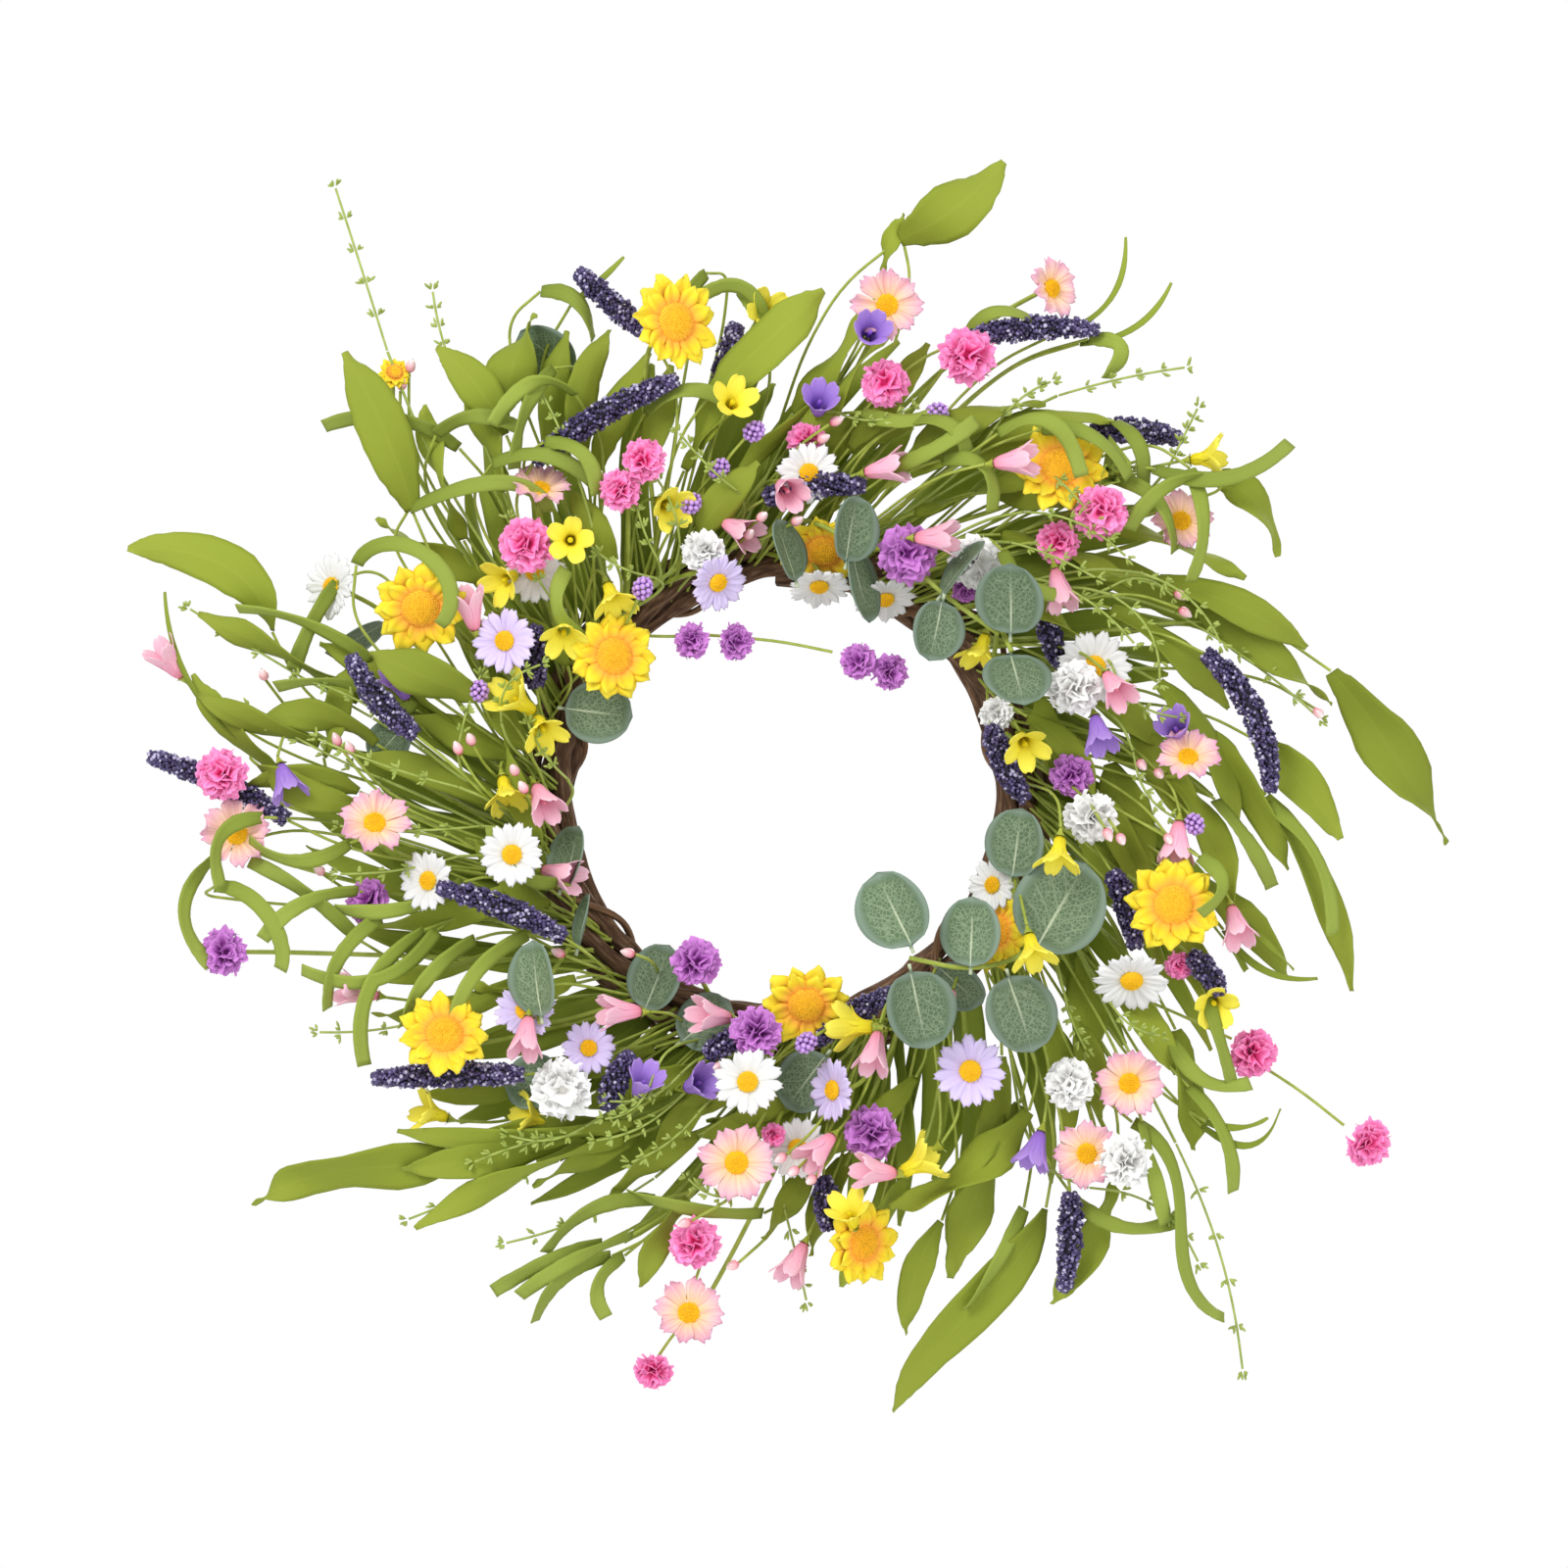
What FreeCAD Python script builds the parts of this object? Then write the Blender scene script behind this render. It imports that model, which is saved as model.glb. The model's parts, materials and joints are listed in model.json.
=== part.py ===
"""Spring flower wreath: a ring of twisted grapevine carrying artificial flowers, leaves and sprigs.

Frame: +X to the right, +Y from the viewer to the door, +Z up, millimetres. The origin is the point
inside the top of the ring where a door hook carries it. Every list of places below is written from
the middle of the ring: x to the right, z up, and depth towards the viewer.
"""
import FreeCAD, Part
import math
import os

import Sketcher
from FreeCAD import Placement, Rotation, Vector

DIMENSIONS = {
    # ring of canes
    "ring_radius": 110, "cane_count": 5, "cane_radius": 4.5, "cane_thinning": 0.2, "core_radius": 3,
    "lay_radius": 9, "lay_turns": 2, "cane_sweep": 342, "cane_step": 12,
    "binding_radius": 1.6, "binding_turns": 7, "binding_gap": 0.5,
    # sunflower heads
    "sun_petals": 12, "sun_reach": 22.5, "sun_rise": 3, "sun_hub": 6, "sun_root": 9, "sun_point": 0.8,
    "sun_inner": 0.84, "sun_layer_gap": 1.2, "sun_disc": 9, "sun_dome": 3.4,
    # white and lilac daisies
    "daisy_petals": 14, "daisy_reach": 15.5, "daisy_rise": 2.5, "daisy_hub": 3, "daisy_root": 5,
    "daisy_point": 0.45, "daisy_disc": 4.6, "daisy_dome": 2.4,
    # pink cosmos
    "cosmos_petals": 8, "cosmos_reach": 17, "cosmos_rise": 4, "cosmos_hub": 3, "cosmos_root": 7,
    "cosmos_point": 0.3, "cosmos_disc": 5, "cosmos_dome": 2.6,
    # cloth, calyxes and the wires of the stems
    "petal_gauge": 0.8, "petal_gap": 0.14, "calyx_mouth": 4, "calyx_neck": 1.3, "calyx_length": 5,
    "stem_radius": 1.1, "fine_stem_radius": 0.7,
    # where stems leave the ring: how far round they start from the head they carry, and their scatter
    "stem_lead": 10, "stem_lead_step": 3, "stem_lead_growth": 0.07, "stem_scatter": 6, "stem_pull": 0.35,
    "stem_launch": 0.35, "stem_launch_sway": 0.2, "stem_root_depth": 7,
    # ruffled carnations
    "ruffle_radius": 13, "ruffle_neck": 2.2,
    # bells: yellow forsythia, pink tulip, lilac crocus
    "forsythia_mouth": 11, "forsythia_belly": 3.2, "forsythia_length": 15, "forsythia_petals": 5,
    "tulip_mouth": 8.5, "tulip_belly": 5, "tulip_length": 19, "tulip_petals": 5,
    "crocus_mouth": 9, "crocus_belly": 4.4, "crocus_length": 17, "crocus_petals": 6,
    "bell_neck": 1.6, "bell_cup": 2.3, "bell_cup_length": 4,
    # lavender, eucalyptus, leaves
    "lavender_radius": 5.8, "lavender_tip": 0.45,
    "eucalyptus_length": 36, "eucalyptus_width": 33, "eucalyptus_gauge": 0.8,
    "under_rows": 2, "under_count": 34, "under_length": 92, "under_width": 13, "under_root_step": 6,
    "under_depth_step": 8, "under_arch": 8,
    "leaf_gauge": 0.8, "strap_width": 6.8, "grass_width": 3,
    "sprig_joints": 5, "leaflet_length": 4, "leaflet_foot": 0.3, "leaflet_radius": 1, "leaflet_seat": 1.4,
    "leaflet_lean": 0.9, "leaflet_tip_lean": 0.5, "bud_length": 7, "bud_radius": 2.2, "berry_radius": 4.5,
}

# Sunflowers: x, z, depth, how far the face turns to the right and up, size.
SUNFLOWERS = [
    (-51, 217, 52, 0.6, 0.1, 1.0), (-167, 87, 50, 0.0, -0.45, 1.0), (-79, 64, 48, 0.35, 0.0, 0.95),
    (126, 150, 50, 0.1, 0.4, 1.0), (178, -50, 58, 0.0, 0.05, 1.02), (10, -95, 44, 0.0, -0.5, 0.95),
    (-156, -110, 50, 0.1, 0.35, 0.95), (35, -205, 46, 0.8, -0.1, 0.9), (18, 114, 34, 0.0, -0.8, 0.9),
    (98, -62, 46, -0.7, 0.0, 0.85), (-180, 194, 22, 0.3, 0.5, 0.36),
]
WHITE_DAISIES = [
    (-125, -27, 56, 0.05, 0.05, 1.0), (-163, -39, 46, -0.6, 0.0, 0.95), (-17, -131, 62, 0.0, 0.1, 1.05),
    (159, -84, 52, 0.05, -0.85, 1.15), (11, 148, 44, 0.1, 0.1, 0.95), (142, 59, 44, 0.1, 0.0, 1.15),
    (96, -41, 48, -0.7, 0.1, 0.85), (6, -162, 42, 0.0, 0.1, 0.95), (-115, 103, 36, 0.2, 0.0, 0.95),
    (16, 97, 40, 0.0, -1.4, 0.95), (46, 91, 34, 0.3, -1.2, 0.95), (-208, 96, 22, -1.0, 0.2, 1.0),
]
LILAC_DAISIES = [
    (-128, 71, 52, -0.35, 0.0, 1.0), (-31, 98, 54, 0.55, -0.45, 0.95), (-119, -99, 50, 0.0, 0.5, 0.95),
    (-90, -116, 46, 0.1, 0.2, 0.85), (85, -126, 60, 0.0, 0.0, 1.1), (23, -135, 50, -1.3, 0.0, 1.0),
]
PINK_COSMOS = [
    (47, 225, 46, 0.0, 0.05, 1.0), (122, 233, 34, 0.9, 0.2, 0.85), (-188, -13, 50, 0.1, 0.55, 1.0),
    (-252, -18, 30, 0.0, 0.25, 1.0), (-22, -168, 58, 0.0, 0.05, 1.08), (158, -132, 50, 0.0, 0.1, 0.95),
    (139, -164, 50, -0.35, 0.0, 0.95), (-44, -238, 38, 0.0, 0.35, 1.0), (-112, 140, 46, 0.2, 1.3, 0.85),
    (182, 126, 32, 0.3, 0.3, 0.9), (185, 17, 50, 0.0, 0.8, 0.9),
]
# Carnations: x, z, depth, how far the face turns to the right and up, size.
PINK_CARNATIONS = [
    (-75, 140, 60, -0.2, -0.1, 0.75), (-65, 153, 62, 0.3, 0.2, 0.8), (-118, 115, 60, 0.0, 0.0, 1.0),
    (83, 202, 50, 0.2, 0.0, 1.05), (46, 190, 48, 0.0, -0.1, 0.9), (144, 131, 62, 0.1, -0.2, 1.0),
    (126, 117, 44, -0.2, -0.3, 0.8), (-258, 9, 38, -0.2, 0.2, 0.95), (-41, -205, 44, 0.0, -0.3, 0.95),
    (-60, -263, 30, -0.2, -0.7, 0.75), (214, -117, 24, 0.5, -0.4, 0.95), (267, -159, 22, 0.8, -0.4, 0.9),
    (181, -77, 42, 0.2, -0.4, 0.55), (10, 163, 38, 0.0, 0.3, 0.7), (-5, -155, 50, 0.0, -0.3, 0.45),
]
WHITE_CARNATIONS = [
    (-37, 112, 50, 0.0, 0.0, 0.78), (88, 108, 46, 0.2, -0.2, 1.0), (132, 50, 58, 0.1, -0.1, 1.0),
    (98, 38, 40, -0.3, -0.2, 0.65), (140, -9, 56, 0.1, -0.3, 0.95), (131, -132, 60, -0.1, 0.0, 0.92),
    (155, -167, 62, 0.1, -0.1, 0.98), (-101, -134, 60, -0.2, -0.2, 1.1),
]
PURPLE_CARNATIONS = [
    (-41, 71, 42, -0.6, 0.1, 0.68), (-24, 71, 43, 0.6, 0.0, 0.68), (35, 61, 46, -0.5, 0.2, 0.68),
    (47, 57, 45, 0.5, -0.2, 0.68), (56, 111, 56, 0.1, -0.1, 1.05), (-41, -77, 50, 0.0, 0.2, 0.9),
    (-13, -109, 60, 0.0, 0.1, 0.95), (-257, -72, 28, -0.4, 0.0, 0.9), (-190, -49, 34, -0.5, 0.2, 0.85),
    (40, -155, 50, 0.0, 0.0, 1.0), (132, 10, 46, 0.0, -0.2, 0.8), (83, 95, 38, 0.0, -0.3, 0.5),
]
# Bells: x, z, depth, then where the mouth points: right, up and towards the viewer.
YELLOW_BELLS = [
    (-24, 180, 54, 0.3, 0.4, 0.9), (-98, 117, 60, 0.0, 0.0, 1.0), (-128, 99, 44, -0.5, -0.3, 0.6),
    (-79, 91, 54, 0.3, -0.8, 0.5), (-101, 75, 56, 0.0, -0.7, 0.7), (-122, 44, 50, 0.2, -0.4, 0.9),
    (-111, 31, 52, 0.3, -0.6, 0.6), (-54, 133, 48, 0.5, -0.3, 0.8), (-9, 222, 30, 0.3, 0.2, 0.9),
    (194, 155, 38, 1.0, 0.1, 0.2), (110, 24, 54, 0.2, -0.5, 0.8), (90, 67, 46, -0.3, -0.9, 0.3),
    (125, -26, 76, -0.1, -1.0, 0.3), (113, -70, 80, 0.2, -0.9, 0.4), (197, -95, 38, 0.2, -0.4, 0.9),
    (36, -106, 52, -1.0, 0.1, 0.2), (63, -167, 56, -0.7, -0.6, 0.3), (-162, -146, 30, -0.9, 0.3, 0.3),
    (-116, -148, 38, -0.8, 0.3, 0.3), (30, -192, 58, -0.2, 0.7, 0.6), (-128, 2, 40, 0.2, -0.8, 0.4),
]
PINK_BELLS = [
    (46, 150, 52, 1.0, 0.2, 0.3), (105, 153, 66, 1.0, 0.1, 0.3), (1, 140, 54, 0.3, -0.3, 0.8),
    (69, 118, 62, 1.0, 0.0, 0.3), (126, 95, 50, 0.2, -0.9, 0.3), (151, 50, 66, 0.4, -0.6, 0.7),
    (-144, 85, 52, -0.2, 0.9, 0.3), (-284, 62, 12, -0.5, 0.6, 0.3), (-21, 122, 46, 0.6, -0.3, 0.5),
    (-111, -2, 46, 0.3, -0.6, 0.6), (-103, -36, 42, 0.8, -0.2, 0.5), (-75, -99, 52, -1.0, 0.0, 0.3),
    (-33, -101, 50, -0.8, 0.1, 0.5), (-118, -110, 64, -0.1, -1.0, 0.5), (-196, -90, 30, -0.9, 0.2, 0.3),
    (41, -117, 62, -0.2, -0.9, 0.4), (16, -162, 56, -0.6, -0.6, 0.4), (42, -172, 60, -0.9, 0.1, 0.4),
    (5, -214, 40, -0.4, -0.8, 0.3), (180, -21, 52, -0.1, -1.0, 0.3), (207, -59, 50, 0.2, -0.8, 0.5),
]
LILAC_BELLS = [
    (39, 212, 56, 0.2, 0.3, 0.9), (16, 180, 44, 0.1, 0.5, 0.8), (-229, 7, 36, 0.3, -0.8, 0.4),
    (144, 29, 56, 0.2, -0.8, 0.4), (180, 30, 44, -0.3, 0.5, 0.7), (115, -162, 48, -0.3, -0.9, 0.2),
    (-65, -132, 58, 0.3, 0.6, 0.6), (-40, -132, 50, 0.5, 0.2, 0.6), (-176, 51, 38, -0.2, 0.6, 0.6),
]
# Lavender spikes: foot, middle and tip, each x, z and depth.
LAVENDER = [
    ((-64, 213, 40), (-79, 226, 36), (-95, 241, 30)), ((-115, 153, 44), (-82, 176, 48), (-49, 191, 50)),
    ((-29, 185, 30), (-26, 202, 28), (-22, 217, 26)), ((-169, 28, 52), (-186, 44, 53), (-199, 64, 50)),
    ((-229, -11, 28), (-260, 6, 24), (-293, 18, 16)), ((-114, 50, 40), (-115, 64, 41), (-114, 78, 40)),
    ((-101, -65, 54), (-129, -51, 58), (-159, -42, 58)),
    ((-120, -128, 44), (-154, -128, 44), (-189, -130, 38)),
    ((-81, -144, 46), (-77, -130, 50), (-70, -118, 52)), ((-36, -119, 48), (-24, -112, 50), (-10, -106, 50)),
    ((14, -113, 38), (32, -100, 41), (51, -90, 42)), ((86, 211, 38), (115, 215, 38), (144, 214, 34)),
    ((141, 167, 24), (162, 168, 22), (183, 164, 18)), ((193, 65, 44), (215, 38, 47), (223, 2, 42)),
    ((95, 32, 40), (101, 14, 43), (111, -2, 42)), ((120, 88, 36), (122, 75, 38), (127, 60, 38)),
    ((-9, 136, 42), (14, 142, 44), (37, 142, 44)), ((150, -35, 46), (157, -52, 48), (161, -70, 48)),
    ((186, -73, 42), (193, -80, 42), (200, -91, 40)), ((131, -182, 44), (131, -205, 42), (128, -227, 36)),
    ((18, -175, 42), (19, -187, 43), (20, -199, 42)),
]
# Eucalyptus leaves: foot x, z, tip x, z, depth, how far the tip dips forward, and how far the blade
# turns edge-on (degrees).
EUCALYPTUS = [
    (-101, 41, -70, 35, 26, 3, 10), (-99, 194, -121, 215, 16, 3, 30), (102, 74, 105, 106, 66, 12, 12),
    (73, 89, 65, 62, 62, 3, 25), (105, 65, 107, 41, 60, 24, 8), (-2, 127, 4, 98, 56, 3, 62),
    (35, 137, 27, 107, 62, 3, 45), (32, 113, 38, 79, 52, 3, 66), (72, 92, 91, 117, 58, 3, 76),
    (56, -69, 44, -34, 78, 3, 20), (84, -78, 87, -46, 72, 3, 25), (103, -37, 110, -6, 60, 3, 25),
    (114, -69, 140, -32, 60, 3, 5), (59, -80, 64, -116, 74, 3, 20), (104, -82, 111, -118, 72, 3, 20),
    (90, -96, 71, -78, 50, 3, 35), (-112, -101, -115, -66, 62, 3, 50), (-65, -98, -52, -69, 30, 3, 35),
    (-48, -112, -24, -96, 30, 3, 20), (-103, -42, -94, -14, 34, 3, 55), (-95, -70, -90, -45, 38, 3, 78),
    (-127, -139, -103, -125, 32, 3, 20), (0, -143, 20, -120, 36, 3, 20), (-190, 16, -174, 32, 18, 3, 20),
    (-184, 79, -212, 66, 14, 3, 70),
]
# Broad leaves: width, turn about the midrib at the foot and at the tip (degrees), then the route.
BROAD_LEAVES = [
    (24, 5, -35, (-171, 131, 36), (-184, 168, 42), (-202, 204, 36)),
    (25, 20, 45, (-130, 176, 36), (-124, 200, 34), (-115, 222, 28)),
    (18, -35, 25, (-128, 166, 38), (-143, 190, 40), (-160, 206, 34)),
    (26, 15, -10, (-33, 185, 44), (-8, 208, 46), (18, 232, 40)),
    (17, 10, 30, (-40, 120, 40), (-28, 136, 46), (-12, 153, 46)),
    (22, 60, -30, (-236, 76, 22), (-250, 100, 24), (-276, 112, 20), (-303, 114, 10)),
    (17, 15, 40, (-196, 44, 20), (-234, 66, 26), (-270, 84, 20)),
    (22, 10, 20, (-140, 45, 50), (-168, 56, 56), (-190, 65, 52)),
    (14, 40, 10, (-235, 12, 14), (-258, 34, 18), (-273, 56, 12)),
    (14, 40, 50, (-212, 18, 24), (-206, 40, 28), (-201, 62, 24)),
    (27, -15, 25, (53, 256, 24), (80, 272, 28), (101, 292, 20)),
    (9, 20, 45, (45, 241, 22), (48, 253, 24), (55, 268, 22)),
    (18, 10, 35, (196, 148, 30), (217, 134, 34), (227, 110, 28)),
    (18, 35, 5, (172, 100, 34), (208, 87, 38), (240, 68, 32)),
    (17, 20, 60, (186, 90, 26), (224, 64, 30), (252, 42, 24)),
    (26, 5, 35, (252, 57, 22), (280, 20, 22), (306, -22, 8)),
    (20, -20, 20, (216, 26, 24), (240, 3, 28), (256, -20, 22)),
    (15, 30, -30, (222, 0, 28), (245, -38, 26), (262, -90, 14)),
    (26, 20, -15, (150, 15, 24), (159, -20, 28), (167, -53, 24)),
    (22, 5, 30, (138, -72, 26), (140, -102, 30), (141, -138, 24)),
    (22, 10, -20, (112, -145, 38), (86, -172, 42), (48, -189, 38)),
    (24, 30, 10, (108, -142, 28), (90, -180, 32), (76, -222, 26)),
    (21, 60, -60, (120, -190, 32), (100, -222, 30), (72, -252, 24), (50, -284, 12)),
    (18, 15, 40, (152, -178, 28), (141, -205, 30), (123, -234, 24)),
    (18, 25, -10, (180, -108, 28), (187, -138, 32), (188, -163, 28)),
    (14, 30, 10, (-70, -150, 38), (-128, -158, 42), (-178, -154, 34)),
    (25, 75, -65, (-148, -166, 28), (-185, -171, 30), (-215, -175, 24), (-245, -189, 12)),
    (16, 20, 45, (-74, -158, 34), (-122, -174, 36), (-170, -199, 28)),
    (14, 35, 20, (-62, -150, 26), (-90, -166, 30), (-116, -180, 24)),
    (13, 20, 40, (-45, -185, 30), (-58, -206, 34), (-66, -226, 30)),
    (16, 10, 30, (118, 45, 28), (122, 24, 34), (131, 4, 30)),
    (18, 25, 5, (160, 30, 28), (178, 6, 32), (191, -17, 28)),
    (14, 40, 20, (30, -165, 24), (18, -188, 28), (12, -212, 22)),
    (18, 15, 40, (-148, 118, 22), (-160, 150, 28), (-166, 180, 22)),
    (16, 20, 30, (-136, 100, 18), (-164, 112, 24), (-188, 128, 18)),
    (18, 25, 10, (2, 150, 24), (32, 166, 28), (64, 172, 22)),
    (18, 10, 35, (58, 148, 24), (94, 162, 30), (127, 158, 24)),
    (18, 25, 15, (94, 140, 26), (126, 136, 32), (162, 124, 26)),
    (16, 30, 0, (128, 112, 20), (166, 96, 26), (198, 74, 20)),
    (14, 25, 45, (-118, -40, 28), (-150, -54, 32), (-188, -60, 26)),
    (14, 15, 35, (-114, -60, 22), (-150, -78, 28), (-188, -84, 20)),
    (14, 30, 10, (-90, -120, 22), (-126, -133, 28), (-168, -138, 22)),
    (16, 20, 40, (22, -130, 22), (-12, -150, 26), (-52, -156, 22)),
    (16, 10, 30, (-124, 18, 22), (-152, 29, 28), (-182, 38, 22)),
    (15, 20, 50, (-150, 28, 26), (-180, 52, 30), (-214, 70, 24)),
    (14, 30, 10, (-130, -6, 28), (-160, 10, 32), (-196, 18, 26)),
    (14, 25, 40, (-118, 20, 34), (-134, 44, 38), (-146, 70, 34)),
    (14, 10, 40, (-120, -84, 30), (-150, -98, 34), (-190, -100, 26)),
    (16, 20, -20, (-104, 150, 30), (-106, 184, 32), (-100, 214, 26)),
    (15, -10, 30, (-86, 150, 28), (-76, 180, 30), (-62, 204, 24)),
    (16, 10, 30, (-128, 140, 28), (-138, 170, 30), (-146, 196, 24)),
    (14, 20, 40, (-46, 150, 30), (-30, 176, 32), (-10, 196, 26)),
    (14, 10, -20, (-20, 150, 28), (4, 170, 30), (30, 186, 24)),
    (15, 20, 50, (60, 130, 28), (92, 140, 32), (122, 150, 26)),
    (14, 10, 40, (100, 120, 28), (130, 112, 32), (160, 96, 26)),
    (16, 20, -10, (126, 60, 28), (150, 44, 32), (176, 20, 26)),
    (15, 10, 40, (130, 10, 28), (152, -14, 32), (168, -40, 26)),
    (16, 30, 0, (136, -20, 26), (160, -50, 30), (176, -86, 24)),
    (15, 10, 30, (120, -104, 28), (130, -130, 32), (128, -160, 26)),
    (14, 20, -20, (100, -120, 28), (96, -150, 32), (84, -176, 26)),
    (14, 15, 35, (60, -130, 28), (40, -150, 32), (10, -170, 26)),
    (13, 20, 45, (20, -126, 28), (-6, -142, 32), (-36, -150, 26)),
    (14, 20, 40, (-40, -124, 28), (-70, -136, 32), (-104, -142, 26)),
    (13, 10, 30, (-60, -116, 26), (-90, -124, 30), (-124, -124, 24)),
    (13, 20, 40, (-112, -20, 30), (-124, 2, 34), (-128, 26, 30)),
    (12, 10, -30, (-108, -50, 30), (-126, -40, 34), (-142, -20, 30)),
    (12, 30, 10, (-100, 60, 30), (-116, 76, 34), (-138, 84, 30)),
    (16, 10, 25, (-92, 158, 34), (-92, 186, 38), (-80, 214, 32)),
    (15, 20, -10, (-66, 150, 32), (-58, 174, 36), (-52, 198, 30)),
    (16, 15, 40, (8, 156, 32), (24, 186, 36), (48, 212, 30)),
    (14, 0, 30, (30, 160, 32), (52, 188, 36), (66, 208, 30)),
    (16, 20, 40, (58, 156, 36), (88, 174, 42), (120, 180, 36)),
    (15, 10, 35, (88, 160, 34), (118, 172, 40), (150, 172, 32)),
    (14, 10, 20, (-78, 108, 36), (-88, 124, 40), (-98, 140, 36)),
    (16, 20, 45, (150, 124, 30), (180, 116, 34), (212, 100, 26)),
    (16, 10, 30, (150, 86, 34), (178, 68, 38), (204, 40, 32)),
    (18, 15, 40, (172, 52, 30), (196, 22, 34), (208, -14, 28)),
    (17, 25, 5, (190, 34, 26), (212, 4, 30), (232, -34, 24)),
    (16, 10, -20, (176, 10, 32), (198, -22, 36), (206, -58, 30)),
    (15, 20, 30, (176, -60, 30), (192, -82, 34), (200, -104, 28)),
    (15, 10, 30, (152, -88, 34), (168, -106, 38), (180, -128, 32)),
    (16, 30, 10, (-188, 24, 28), (-214, 36, 32), (-244, 34, 26)),
    (15, 20, 45, (-196, -4, 30), (-222, 2, 34), (-246, 18, 28)),
    (18, 10, 30, (-96, -156, 34), (-136, -166, 38), (-176, -172, 32)),
    (16, 20, 40, (-84, -150, 34), (-118, -156, 38), (-156, -160, 32)),
    (14, 20, 30, (-30, -132, 34), (-46, -148, 38), (-66, -172, 32)),
    (14, 10, 30, (14, -166, 30), (4, -184, 34), (-10, -204, 28)),
    (14, 10, 30, (134, -104, 34), (142, -126, 38), (146, -148, 32)),
    (13, 20, 50, (96, 96, 40), (120, 84, 44), (144, 62, 40)),
    (13, 10, 30, (112, 36, 40), (130, 22, 44), (142, -2, 40)),
    (12, 30, 0, (-96, -84, 32), (-118, -90, 36), (-146, -86, 32)),
    (16, 20, 0, (4, 176, 30), (20, 196, 34), (40, 226, 28)),
    (14, 10, 20, (-40, 158, 32), (-34, 176, 36), (-22, 200, 30)),
    (14, 10, 30, (-10, -126, 36), (-28, -136, 40), (-50, -146, 34)),
    (14, 15, 30, (-40, -156, 34), (-58, -166, 38), (-80, -184, 30)),
    (16, 20, 40, (56, -176, 30), (40, -200, 34), (26, -226, 26)),
    (14, 10, 30, (72, -196, 28), (60, -222, 30), (56, -248, 22)),
    (15, 20, 40, (-214, 24, 24), (-240, 32, 28), (-270, 46, 20)),
    (14, 10, 30, (-196, 2, 28), (-220, 8, 32), (-248, 4, 24)),
    (16, 10, 30, (186, -36, 28), (212, -58, 32), (232, -84, 24)),
]
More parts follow.
